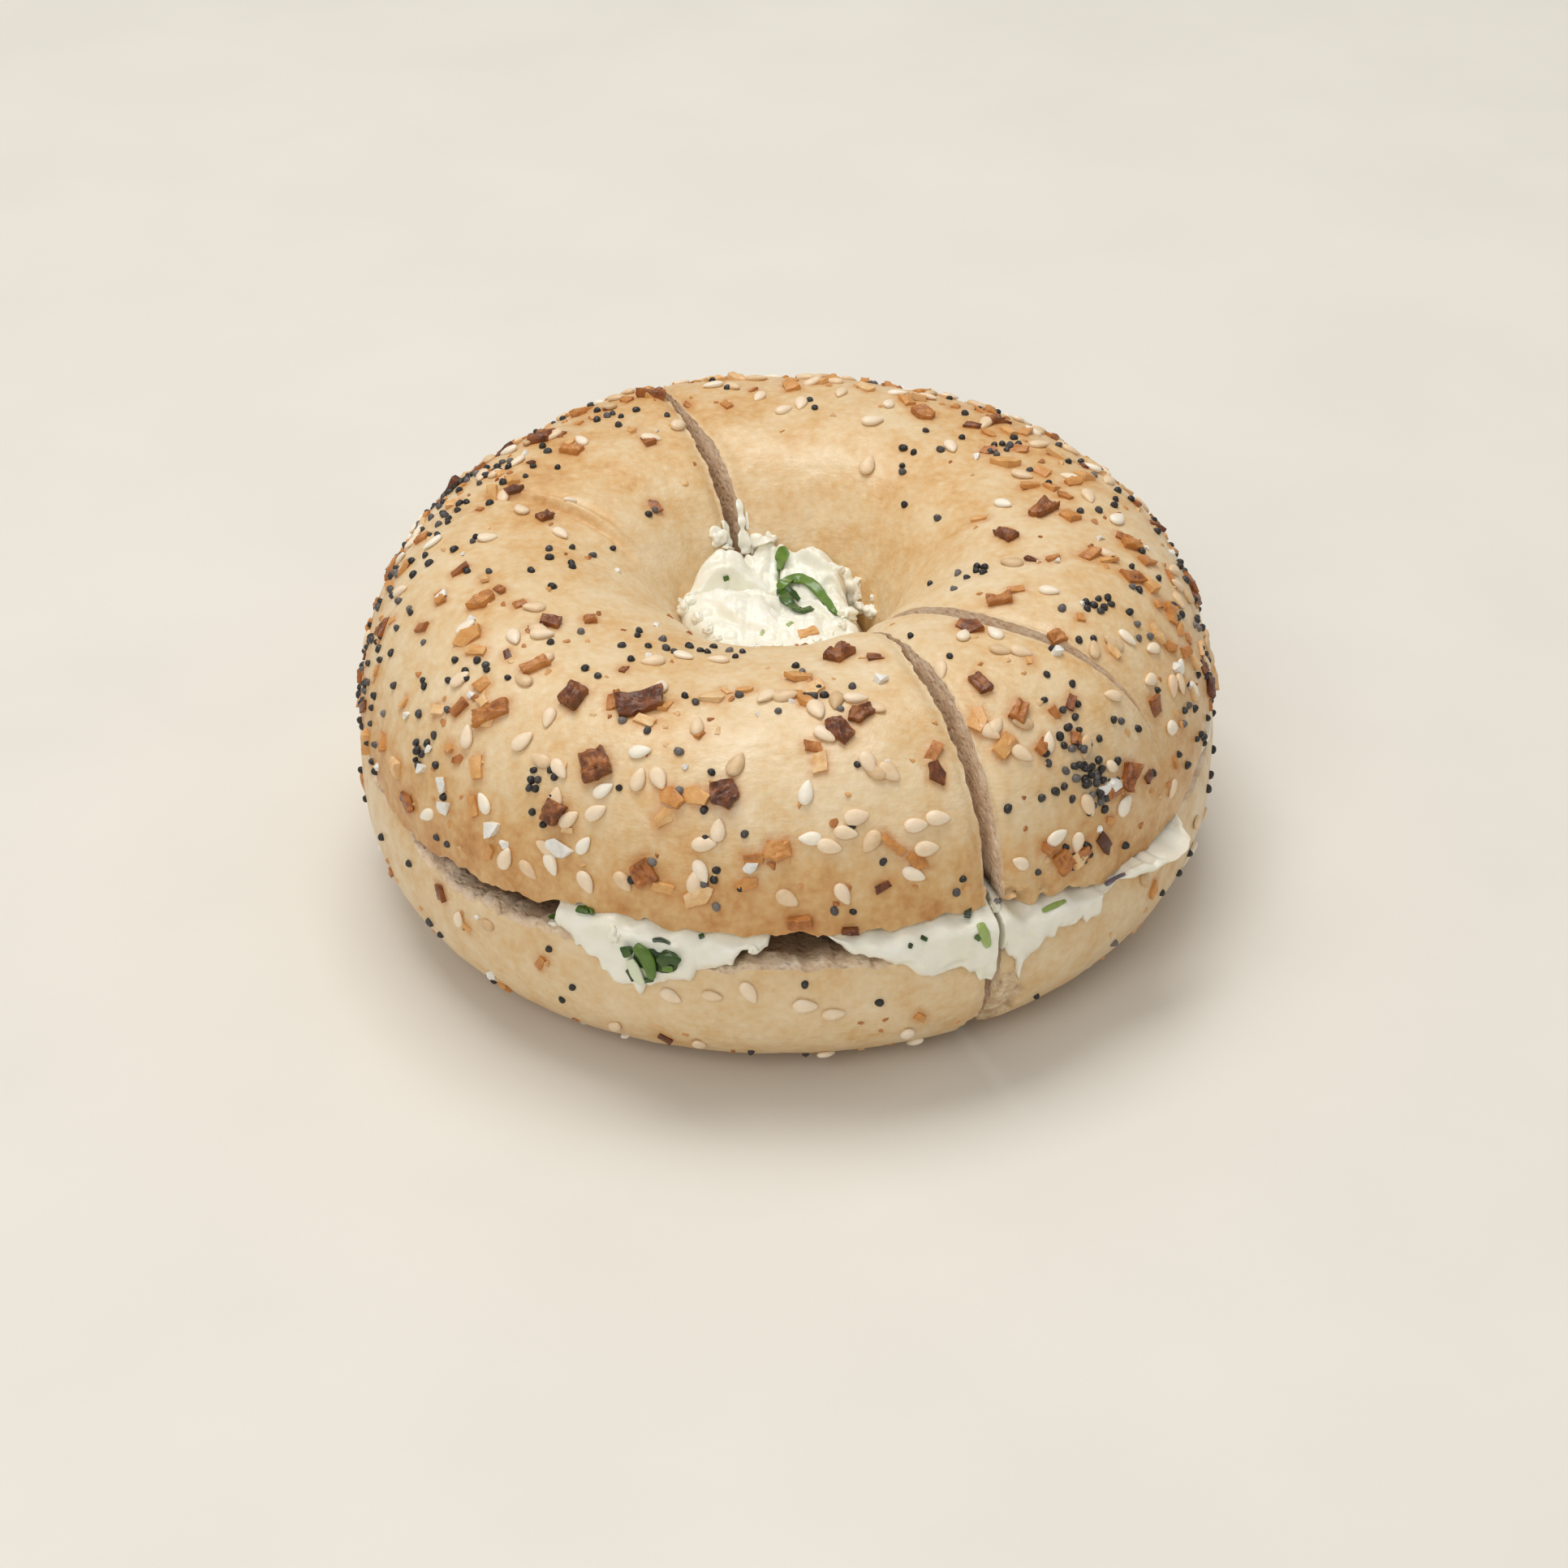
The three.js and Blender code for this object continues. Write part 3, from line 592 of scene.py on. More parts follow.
class nodeBoard:
    # Adds nodes to a tree from left to right and links them as they are made.
    def __init__(self, tree):
        self.tree = tree
        self.count = 0

    def add(self, kind, settings=None, **inputs):
        node = self.tree.nodes.new(kind)
        self.count += 1
        node.location = (220 * (self.count % 12), -260 * (self.count // 12))
        for name, value in (settings or {}).items():
            setattr(node, name, value)
        for name, value in inputs.items():
            self.feed(node, name.replace("_", " "), value)
        return node

    def feed(self, node, name, value):
        socket = node.inputs[int(name[1:])] if name[0] == "i" and name[1:].isdigit() else node.inputs[name]
        if isinstance(value, bpy.types.NodeSocket):
            self.tree.links.new(value, socket)
        else:
            socket.default_value = value

    def math(self, operation, first, second=0.0, clamp=False):
        node = self.add("ShaderNodeMath", {"operation": operation, "use_clamp": clamp}, i0=first, i1=second)
        return node.outputs[0]

    def blend(self, share, first, second, mode="MIX"):
        settings = {"data_type": "RGBA", "blend_type": mode}
        return self.add("ShaderNodeMix", settings, i0=share, i6=first, i7=second).outputs[2]

    def ramp(self, value, stops):
        # stops as place and screen colour
        node = self.add("ShaderNodeValToRGB", None, Fac=value)
        while len(node.color_ramp.elements) < len(stops):
            node.color_ramp.elements.new(0.5)
        for element, (place, *colour) in zip(node.color_ramp.elements, stops):
            element.position = place
            element.color = paint(*colour)
        return node.outputs[0]

    def span(self, value, low, high, toLow=0.0, toHigh=1.0):
        node = self.add("ShaderNodeMapRange", {"clamp": True}, Value=value, From_Min=low, From_Max=high,
                        To_Min=toLow, To_Max=toHigh)
        return node.outputs[0]

    def noise(self, place, size, detail=3.0, rough=0.55):
        # size is the width of the coarsest spots in millimetres
        node = self.add("ShaderNodeTexNoise", None, Vector=place, Scale=1000 / size, Detail=detail,
                        Roughness=rough)
        return node.outputs["Fac"]

    def cells(self, place, size, feature="F1"):
        node = self.add("ShaderNodeTexVoronoi", {"feature": feature}, Vector=place, Scale=1000 / size)
        return node.outputs["Distance"]

    def attribute(self, name):
        settings = {"attribute_name": name, "attribute_type": "GEOMETRY"}
        return self.add("ShaderNodeAttribute", settings).outputs["Fac"]


def shaderGroup(name, inputs, outputs, build):
    tree = bpy.data.node_groups.new(name, "ShaderNodeTree")
    for socket, kind, value in inputs:
        tree.interface.new_socket(socket, in_out="INPUT", socket_type=kind).default_value = value
    for socket, kind in outputs:
        tree.interface.new_socket(socket, in_out="OUTPUT", socket_type=kind)
    board = nodeBoard(tree)
    start = board.add("NodeGroupInput")
    end = board.add("NodeGroupOutput")
    for socket, value in build(board, start.outputs).items():
        tree.links.new(value, end.inputs[socket])
    return tree


colourSocket, numberSocket, vectorSocket = "NodeSocketColor", "NodeSocketFloat", "NodeSocketVector"


def buildBakedDough(board, given):
    # Colour and height of baked dough skin, from pale cream through gold to brown.
    place = given["Place"]
    patch = board.noise(place, 5.0, 4.0, 0.6)
    speck = board.noise(place, 0.9, 2.0, 0.5)
    blister = board.cells(place, 1.15, "SMOOTH_F1")
    bake = board.math("ADD", given["Bake"], board.span(patch, 0.3, 0.7, -0.17, 0.17))
    bake = board.math("ADD", bake, board.span(speck, 0.3, 0.7, -0.07, 0.07))
    bake = board.math("ADD", bake, board.span(blister, 0.1, 0.6, -0.035, 0.05), clamp=True)
    colour = board.ramp(bake, [(0.0, 234, 214, 180), (0.28, 225, 197, 153), (0.52, 216, 175, 119),
                               (0.76, 198, 143, 82), (1.0, 160, 102, 52)])
    fine = board.noise(place, 0.42, 2.0, 0.6)
    drawn = board.add("ShaderNodeMapping", None, Vector=place, Scale=(0.35, 0.8, 1.6)).outputs[0]
    lines = board.noise(drawn, 0.7, 2.0, 0.5)
    height = board.math("MULTIPLY", board.span(blister, 0.0, 0.7, 1.0, 0.0), 0.5)
    height = board.math("ADD", height, board.math("MULTIPLY", fine, 0.45))
    height = board.math("ADD", height, board.math("MULTIPLY", lines, 0.6))
    return {"Colour": colour, "Height": height, "Roughness": board.span(patch, 0.3, 0.75, 0.32, 0.48)}


def buildOpenCrumb(board, given):
    # Cut crumb under its skin: Depth is the distance under the crust in millimetres, and the third input the
    # share of painted shade on the sliced faces.
    place = given["Place"]
    coarse = board.noise(place, 2.6, 4.0, 0.6)
    fine = board.noise(place, 0.7, 3.0, 0.6)
    pore = board.cells(place, 1.0)
    tone = board.math("ADD", board.math("MULTIPLY", coarse, 0.6), board.math("MULTIPLY", fine, 0.4))
    colour = board.ramp(board.span(tone, 0.32, 0.68), [
        (0.0, 216, 184, 152), (0.45, 242, 218, 190), (1.0, 252, 238, 218)])
    edge = board.math("ADD", given["Depth"], board.span(coarse, 0.3, 0.7, -0.35, 0.35))
    skin = board.span(edge, 0.15, 1.0, 1.0, 0.0)
    colour = board.blend(board.math("MULTIPLY", skin, 0.45), colour, paint(218, 188, 146))
    # Painted shade: darkens the crumb where the sliced faces lie deep between the halves.
    colour = board.blend(given["Damp"], colour, paint(112, 80, 54))
    height = board.math("ADD", board.math("MULTIPLY", fine, 0.7), board.span(pore, 0.05, 0.45, 0.0, 0.6))
    return {"Colour": colour, "Height": height}


bakedDough = shaderGroup("bakedDough", [("Place", vectorSocket, (0, 0, 0)), ("Bake", numberSocket, 0.4)],
                         [("Colour", colourSocket), ("Height", numberSocket), ("Roughness", numberSocket)],
                         buildBakedDough)
openCrumb = shaderGroup("openCrumb", [("Place", vectorSocket, (0, 0, 0)), ("Depth", numberSocket, 5.0),
                                      ("Damp", numberSocket, 0.0)],
                        [("Colour", colourSocket), ("Height", numberSocket)], buildOpenCrumb)


def newFinish(name, **fixed):
    # A material with its Principled shader, and a board to add nodes to.
    material = bpy.data.materials.new(name)
    material.use_nodes = True
    board = nodeBoard(material.node_tree)
    shader = material.node_tree.nodes["Principled BSDF"]
    for socket, value in fixed.items():
        shader.inputs[socket.replace("_", " ")].default_value = value
    place = board.add("ShaderNodeTexCoord").outputs["Object"]
    return material, board, shader, place


def addBump(board, shader, height, depth, strength=1.0):
    # depth in millimetres
    bump = board.add("ShaderNodeBump", None, Strength=strength, Distance=depth * mm, Height=height)
    board.feed(shader, "Normal", bump.outputs[0])


def makeCrustFinish():
    material, board, shader, place = newFinish("bakedCrust", Specular_IOR_Level=0.42, Subsurface_Weight=0.06,
                                               Subsurface_Radius=(0.0016, 0.0009, 0.0004))
    group = board.add("ShaderNodeGroup", {"node_tree": bakedDough}, Place=place, Bake=board.attribute("bake"))
    cloud = board.noise(place, 1.3, 3.0, 0.6)
    stain = board.math("MULTIPLY", board.attribute("stain"), board.span(cloud, 0.3, 0.7, 0.25, 1.0))
    colour = board.blend(board.math("MULTIPLY", stain, 0.8), group.outputs["Colour"], paint(196, 130, 62))
    # Pale colour where the bottom half's crust is torn off, and a painted highlight along the lips of the
    # knife cuts.
    torn = board.span(board.attribute("torn"), 0.25, 0.6)
    colour = board.blend(torn, colour, board.ramp(cloud, [(0.35, 196, 164, 124), (0.65, 232, 212, 180)]))
    board.feed(shader, "Base Color", colour)
    rougher = board.math("ADD", group.outputs["Roughness"], board.math("MULTIPLY", torn, 0.4))
    board.feed(shader, "Roughness", rougher)
    height = board.math("ADD", group.outputs["Height"], board.math("MULTIPLY", torn, cloud))
    addBump(board, shader, height, 0.14, 0.9)
    return material


def makeCrumbFinish():
    material, board, shader, place = newFinish("cutCrumb", Specular_IOR_Level=0.2, Roughness=0.85,
                                               Subsurface_Weight=0.1,
                                               Subsurface_Radius=(0.002, 0.0012, 0.0006))
    # The crumb's third input is painted shade on the sliced faces between the halves.
    group = board.add("ShaderNodeGroup", {"node_tree": openCrumb}, Place=place,
                      Depth=board.attribute("depth"), Damp=board.attribute("damp"))
    board.feed(shader, "Base Color", group.outputs["Colour"])
    addBump(board, shader, group.outputs["Height"], 0.3, 1.0)
    return material


crustFinish = makeCrustFinish()
crumbFinish = makeCrumbFinish()

studio = {"floorHalf": 1.4, "floorHeight": -0.0002, "worldStrength": 0.45, "exposure": 0.0}


def softLight(name, place, aim, size, power, colour):
    data = bpy.data.lights.new(name, "AREA")
    data.shape = "RECTANGLE"
    data.size, data.size_y = size
    data.energy = power
    data.color = colour
    light = sceneObject(name, data)
    light.location = place
    light.rotation_euler = (Vector(aim) - Vector(place)).to_track_quat("-Z", "Y").to_euler()


def makeStudio():
    half, under = studio["floorHalf"], studio["floorHeight"]
    mesh = bpy.data.meshes.new("floor")
    corners = [(-half, -half, under), (half, -half, under), (half, half, under), (-half, half, under)]
    mesh.from_pydata(corners, [], [(0, 1, 2, 3)])
    floor = sceneObject("floor", mesh)
    material, board, shader, place = newFinish("paleFloor", Roughness=0.6, Specular_IOR_Level=0.3)
    grain = board.noise(place, 40.0, 3.0, 0.5)
    board.feed(shader, "Base Color", board.ramp(grain, [(0.3, 226, 222, 213), (0.7, 230, 226, 217)]))
    mesh.materials.append(material)
    world = bpy.data.worlds.new("studio")
    world.use_nodes = True
    world.node_tree.nodes["Background"].inputs["Color"].default_value = (1.0, 0.985, 0.96, 1)
    world.node_tree.nodes["Background"].inputs["Strength"].default_value = studio["worldStrength"]
    bpy.context.scene.world = world
    softLight("overheadSoft", (-0.12, 0.22, 1.0), (0, 0, 0.03), (0.7, 0.5), 6.0, (1, 0.98, 0.95))
    softLight("frontSoft", (-0.35, -0.85, 0.75), (0, 0, 0.03), (0.6, 0.5), 3.1, (1, 0.98, 0.95))
    bpy.context.scene.view_settings.view_transform = "Standard"
    bpy.context.scene.view_settings.exposure = studio["exposure"]


def makeCamera():
    data = bpy.data.cameras.new("camera")
    data.sensor_width = 36
    data.lens = 36 * viewpoint["focal"] / viewpoint["image"]
    data.clip_start, data.clip_end = 0.02, 20
    camera = sceneObject("camera", data)
    pitch, roll = viewpoint["pitch"] * degree, viewpoint["roll"] * degree
    right = Vector((1, 0, 0))
    up = Vector((0, math.sin(pitch), math.cos(pitch)))
    ahead = Vector((0, math.cos(pitch), -math.sin(pitch)))
    across = math.cos(roll) * right + math.sin(roll) * up
    upright = -math.sin(roll) * right + math.cos(roll) * up
    turn = Matrix((across, upright, -ahead)).transposed().to_4x4()
    place = (np.array(viewpoint["place"]) + holeAxis) * mm
    camera.matrix_world = Matrix.Translation(place) @ turn
    bpy.context.scene.camera = camera


makeStudio()
makeCamera()


def markSharp(mesh):
    # A sharp line only where the skin of the crust meets cut crumb.
    form = bmesh.new()
    form.from_mesh(mesh)
    for edge in form.edges:
        if len({face.material_index for face in edge.link_faces}) > 1:
            edge.smooth = False
    for face in form.faces:
        face.smooth = True
    form.to_mesh(mesh)
    form.free()


def breadPiece(ring, name, half, node, cutters):
    piece = sceneObject(name, ring.data.copy())
    for cutter in cutters:
        carve(piece, cutter)
    breadAttributes(piece, half)
    markSharp(piece.data)
    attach(piece, "root")
    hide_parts(node)
    print(name, len(piece.data.polygons), [m.name for m in piece.data.materials])
    return piece


topRing = breadRing("topRing", topHalf)
bottomRing = breadRing("bottomRing", bottomHalf)
print("dough rings", len(topRing.data.polygons), len(bottomRing.data.polygons))
breads = []
for ring, name, half, node, slot, side, phase, seed in (
        (topRing, "breadTopLeft", topHalf, "top_left", "top_crust", 1, 0, 81),
        (topRing, "breadTopRight", topHalf, "top_right", "top_crust", -1, 2, 83),
        (bottomRing, "breadBottomLeft", bottomHalf, "bottom_left", "bottom_crust", 1, 4, 85),
        (bottomRing, "breadBottomRight", bottomHalf, "bottom_right", "bottom_crust", -1, 6, 87)):
    cutters = [knifeSide(side, 1 if half["up"] > 0 else knifeCut["lowerShare"], phase, seed)]
    if name == "breadTopRight":
        cutters.append(markBlade())
    breads.append(breadPiece(ring, name, half, node, cutters))

# Round the rim: angle, how far the cream reaches, and the height of its lower edge. Between these
# places it is drawn back between the halves, or hangs over the bottom half in torn flaps.
creamRim = [
    (-180, 44.5, 20.6), (-150, 45, 20.6), (-128, 49, 20.2), (-121, 52.5, 21), (-119, 55.5, 22.4),
    (-118.2, 57.6, 20.9), (-115.2, 58, 19.6), (-112.5, 58.2, 18.8), (-111.4, 58.3, 17.3),
    (-109.8, 58.4, 16.4), (-107.8, 58.4, 16.3), (-107.1, 58.4, 15.3), (-106.4, 58.5, 16.9),
    (-103.3, 58.6, 18), (-101, 58.4, 18), (-100.3, 58.3, 19.1), (-96.4, 57.9, 20.2), (-95, 57.3, 22),
    (-93.2, 57.1, 21.4), (-92.2, 56.6, 22.2), (-91.2, 53.5, 24.2), (-88.6, 51, 22), (-87, 53.5, 25),
    (-85.8, 56.5, 24.4), (-83.5, 57.4, 22.9), (-82, 57.9, 21.5), (-79.2, 58.2, 20.9), (-76.8, 58.4, 19.5),
    (-73.3, 58.5, 17.5), (-69, 58.5, 17.3), (-67.4, 58.4, 16), (-66, 58.4, 14.6), (-64.6, 58.4, 14),
    (-63.4, 58.3, 19), (-62.5, 58.4, 17), (-61.6, 58.4, 15.9), (-61.1, 58.4, 12.9), (-60.5, 58.4, 15.2),
    (-58.8, 58.4, 16.3), (-57.5, 58.3, 18.2), (-56.1, 58.2, 17.3), (-55.6, 58.2, 18.7), (-51.5, 58, 18.2),
    (-50.6, 58, 17), (-48.6, 57.8, 17.1), (-47.3, 57.2, 19.4), (-44.5, 56.8, 20.1), (-42.5, 57.8, 21.2),
    (-39, 58.8, 20.9), (-36, 59.3, 19.8), (-33.6, 59.3, 18.8), (-32, 58.8, 19.3), (-30.4, 57.0, 20.6),
    (-27.5, 54.6, 21.6), (-21, 54.4, 21.3), (-15, 55.1, 21), (-10, 56.0, 20.9), (-5, 54.2, 21.2),
    (-2, 53.6, 21.5), (52, 54, 21.4), (80, 52.5, 20.8), (120, 50, 21), (180, 44.5, 20.6)]
filling = {"steps": 1180, "inner": 8.2, "under": 30.0, "outer": 58.0, "clear": 0.16, "flapThickness": 0.55,
           "belly": 0.85, "tear": 0.22, "swirl": 0.5, "swirlSize": 4.2, "streak": 0.16, "streakSize": 1.5,
           "slitHalf": 0.5, "slitInner": 12.5}
heap = {"turns": 420, "rings": 120, "level": 36.3, "edgeDrop": 2.6, "roll": 1.9, "base": 9.9}
# The heap's swells: x, y, half sizes and rise. Its creases: from, to, bow, half width and depth.
heapLumps = [
    (-7.6, 8.2, 3.8, 3.0, 3.0), (-1.4, 11.6, 2.6, 2.4, 2.5), (3.8, 9.0, 2.8, 3.2, 2.3),
    (6.6, 4.6, 1.8, 3.2, 1.4), (-5.2, 12.2, 2.8, 1.6, 1.2), (-4.4, -2.6, 4.6, 3.6, 2.0),
    (-9.8, 0.4, 2.4, 2.4, 1.1), (3.4, -5.6, 3.6, 2.8, 0.9), (2.6, 1.4, 2.0, 1.6, -1.0),
    (-3.6, 4.2, 3.6, 1.0, -1.5), (-4.2, 9.6, 0.9, 2.4, -1.1), (-0.4, -2.2, 1.0, 2.2, -0.9),
    (-11.2, 4.2, 1.4, 1.2, -0.8)]
heapCreases = [
    ((-11.5, 2.6), (-5.4, 4.8), 0.8, 0.5, 0.8), ((-5.8, 4.6), (1.2, 1.0), 0.7, 0.45, 0.9),
    ((1.0, 1.2), (6.0, -5.0), 0.9, 0.4, 0.5), ((-1.4, 13.5), (-0.7, 6.0), 0.4, 0.4, 0.45),
    ((2.2, 8.4), (9.6, 6.6), -0.9, 0.5, 0.7), ((-7.2, 12.6), (-4.6, 8.0), 0.5, 0.45, 0.7),
    ((-9.0, -3.0), (-2.0, -7.6), -1.2, 0.5, 0.4), ((4.6, 4.0), (9.0, 0.5), 0.6, 0.4, 0.6)]
# Lumps and smears of cream round the heap: place in the photo's frame, size in mm, flatness and raggedness.
creamBits = [
    (1043, 722, 1.9, 0.7, 0.8), (1046, 742, 2.0, 0.6, 0.7), (1056, 730, 1.3, 0.7, 0.8),
    (1074, 752, 1.1, 0.7, 0.7), (1076, 736, 0.4, 0.7, 0.8), (1058, 717, 0.7, 0.8, 0.9),
    (1042, 758, 1.5, 0.6, 0.7), (1060, 747, 1.0, 0.6, 0.8), (842, 750, 1.2, 0.7, 0.6),
    (850, 741, 0.9, 0.8, 0.6), (860, 763, 0.9, 0.7, 0.7), (838, 741, 0.6, 0.6, 0.6),
    (884, 662, 1.3, 0.5, 0.6), (932, 672, 1.5, 0.5, 0.5), (951, 665, 0.8, 0.35, 0.7),
    (1033, 702, 0.8, 0.6, 0.8), (872, 775, 0.7, 0.5, 0.8), (1008, 789, 0.6, 0.5, 0.8),
    (960, 795, 0.6, 0.5, 0.8), (930, 797, 0.7, 0.5, 0.8), (884, 787, 0.6, 0.5, 0.8),
    (1023, 783, 0.5, 0.4, 0.8), (1036, 769, 0.7, 0.4, 0.8), (686, 1138, 0.9, 0.5, 0.6),
    (1226, 1118, 1.0, 0.5, 0.7), (757, 1152, 1.0, 0.4, 0.8), (928, 1170, 0.8, 0.4, 0.8)]
# Smears of cream on the lips of the knife cut: places along each, widths and thickness.
creamSmears = [
    ([(909, 616), (913, 638), (914, 657), (919, 682)], (0.25, 0.9, 1.3, 2.4), 0.6),
    ([(889, 642), (894, 658), (897, 678)], (0.4, 1.0, 1.8), 0.5),
    ([(878, 659), (886, 657), (896, 660)], (0.5, 0.9, 0.6), 0.3),
    ([(922, 676), (936, 671), (950, 667)], (2.0, 1.6, 0.6), 0.6),
    ([(920, 630), (921, 652)], (0.3, 0.5), 0.2)]


def overTable(u, column):
    # Value of a column of creamRim at each angle, eased between its places.
    places = np.array([row[0] for row in creamRim], float)
    values = np.array([row[column] for row in creamRim], float)
    at = (np.degrees(u) + 180) % 360 - 180
    index = np.clip(np.searchsorted(places, at, side="right") - 1, 0, len(places) - 2)
    share = (at - places[index]) / (places[index + 1] - places[index])
    return mix(values[index], values[index + 1], share * share * (3 - 2 * share))


def splineThrough(control, samples):
    # Cubic B-spline along axis 1 of a (rows, points, 2) array, ends held.
    held = np.concatenate([control[:, :1], control[:, :1], control, control[:, -1:], control[:, -1:]], axis=1)
    spans = held.shape[1] - 3
    t = np.linspace(0, spans - 1e-6, samples)
    k, s = t.astype(int), t - t.astype(int)
    weights = [(1 - s) ** 3, 3 * s ** 3 - 6 * s ** 2 + 4, -3 * s ** 3 + 3 * s ** 2 + 3 * s + 1, s ** 3]
    return sum(held[:, k + j] * (weights[j] / 6)[None, :, None] for j in range(4))


def makeFilling():
    f = filling
    u = np.arange(f["steps"]) / f["steps"] * 2 * math.pi - math.pi
    ring, under = onRing(u, f["outer"], u * 0), f["under"]
    tear = f["tear"] * (np.abs(noise(ring, 1.5, 101)) * 2 + noise(ring, 0.7, 103) * 0.6)
    reach, edge = overTable(u, 1), overTable(u, 2)
    out = smooth(reach, 55.0, 57.8)
    edge = mix(np.maximum(edge, rimHeight(u, bottomHalf) + 0.5), edge + tear - 0.1, out)
    topRim, bottomRim = lipHeight(u, topHalf), lipHeight(u, bottomHalf)
    topEdge = crustRadius(u, topRim) - topHalf["tuck"]
    lowest = np.maximum(edge, bottomRim + f["clear"])
    topAt = lambda r: faceHeight(u, topHalf, r) - f["clear"] - 0.1
    bottomAt = lambda r: faceHeight(u, bottomHalf, r) + f["clear"] + 0.1
    behind = np.minimum(edge, bottomRim)
    tucked = np.clip(1 - np.abs(behind - bottomRim) / dough["tuckHeight"], 0, 1) ** 2
    shell = crustRadius(u, behind) - bottomHalf["tuck"] * tucked
    hangs = smooth(bottomRim - edge, -0.3, 0.8) * smooth(reach, 55.5, 57)
    contact = np.minimum(reach - 0.9, topEdge - 0.5)
    belly = f["belly"] + 0.35 * noise(ring, 6.0, 105)
    tip = mix(reach, np.maximum(shell + f["flapThickness"], reach - 0.1), hangs)
    inner = mix(reach - 1.6, shell + 0.1, hangs)
    pairs = [
        (reach * 0 + under, topAt(under)), (reach - 6.0, topAt(reach - 6.0)), (contact - 1.4, topAt(contact)),
        (contact, topRim - f["clear"] - 0.15), (mix(reach, reach + 0.25, out), topRim - 0.75 * belly - 0.4),
        (reach + belly * out, mix(topRim, lowest, 0.45)), (tip + 0.75 * belly * out, mix(topRim, edge, 0.78)),
        (tip + 0.12, edge + 0.25), (tip - 0.1, edge - 0.02), (inner + 0.05, edge + 0.12),
        (mix(reach - 2.6, inner, hangs), mix(edge + 0.2, mix(edge, bottomRim, 0.6), hangs)),
        (mix(reach - 4.0, shell - 0.1, hangs),
         mix(bottomAt(reach - 4.0), bottomRim + f["clear"] + 0.1, hangs)),
        (reach - 7.0, bottomAt(reach - 7.0)), (reach * 0 + under, bottomAt(under))]
    control = np.stack([np.stack(pair, axis=-1) for pair in pairs], axis=1)
    line = splineThrough(control, 78)
    innerTop, innerBase = [
        np.stack([u * 0 + f["inner"], faceHeight(u, half, 11.0) - half["up"] * 0.8], axis=-1)
        for half in (topHalf, bottomHalf)]
    line = np.concatenate([innerTop[:, None], line, innerBase[:, None]], axis=1)
    grid = onRing(np.broadcast_to(u[:, None], line.shape[:2]), line[..., 0], line[..., 1])
    normal = gridNormals(grid)
    away = np.sum(normal[:, 36] * onRing(u, 1.0, u * 0), axis=-1)
    normal = normal * (1 if np.mean(away) > 0 else -1)
    stretched = grid * np.array([1, 1, 1.7])
    relief = f["swirl"] * layeredNoise(stretched, f["swirlSize"], 111, 2)
    relief += f["streak"] * layeredNoise(stretched, f["streakSize"], 115, 2)
    seen = smooth(line[..., 0], 45, 55) * out[:, None] + 0.25 * smooth(line[..., 0], 40, 48)
    room = np.clip(np.minimum(topRim[:, None] - line[..., 1], 99), 0.1, 1.0)
    grid = grid + normal * (relief * np.clip(seen, 0, 1) * room)[..., None]
    faces = gridFaces(*grid.shape[:2], True, True)
    piece = meshFrom("creamFilling", grid.reshape(-1, 3), faces, [creamFinish])
    turnOutwards(piece.data)
    for start, end in ((-66, -f["slitInner"]), (f["slitInner"], 66)):
        carve(piece, creamKnife(start, end))
    return piece


def creamKnife(start, end):
    # A thin wavy blade along the knife cut, from one y to another.
    across, up = np.meshgrid(np.arange(start, end + 0.01, 0.6), np.arange(-2, 50.01, 0.6), indexing="ij")
    sides = [np.stack([cutCentre(across) + side * filling["slitHalf"], across, up], axis=-1)
             for side in (-1, 1)]
    for side, face in zip((-1, 1), sides):
        face[..., 0] += 0.16 * layeredNoise(face, 2.6, 121 + side, 2)
    return bladeOf("creamKnife", *sides, [creamFinish])


def foldDepth(x, y, crease):
    (x0, y0), (x1, y1), bow, width, depth = crease
    run = np.array([x1 - x0, y1 - y0])
    length = np.hypot(*run)
    along = ((x - x0) * run[0] + (y - y0) * run[1]) / length ** 2
    across = (-(x - x0) * run[1] + (y - y0) * run[0]) / length - bow * np.sin(math.pi * np.clip(along, 0, 1))
    ends = smooth(along, -0.12, 0.15) * smooth(along, 1.12, 0.85)
    return depth * ends * (0.55 * bell(across - 1.5 * width, 1.6 * width) - bell(across, width))


def heapHeight(x, y):
    level = heap["level"] + 0 * x
    for atX, atY, halfX, halfY, rise in heapLumps:
        level = level + rise * bell(x - atX, halfX) * bell(y - atY, halfY)
    for crease in heapCreases:
        level = level + 1.5 * foldDepth(x, y, crease)
    spot = np.stack([x, y, 0 * x], axis=-1)
    for size, rise, seed in ((3.4, 1.0, 131), (1.7, 0.4, 133), (0.8, 0.1, 135)):
        level = level + rise * np.abs(noise(spot, size, seed))
    return level - 0.4


# How far the heap is drawn back from the wall of the hole: angle, half width in degrees, and by how much.
heapGaps = [(170, 24, -0.7), (32, 14, 1.0), (6, 34, 4.4), (112, 7, 0.5), (-24, 9, 0.9)]


def heapEdge(u):
    # Radius of the heap where it meets the wall of the hole, lobed and drawn back here and there.
    spot = onRing(u, 9.0, u * 0)
    lobes = 0.55 * np.abs(noise(spot, 4.5, 141)) + 0.3 * np.abs(noise(spot, 1.9, 143))
    return wallRadius(u, u * 0 + 35.4) - 0.25 - lobes - waves(u, heapGaps)


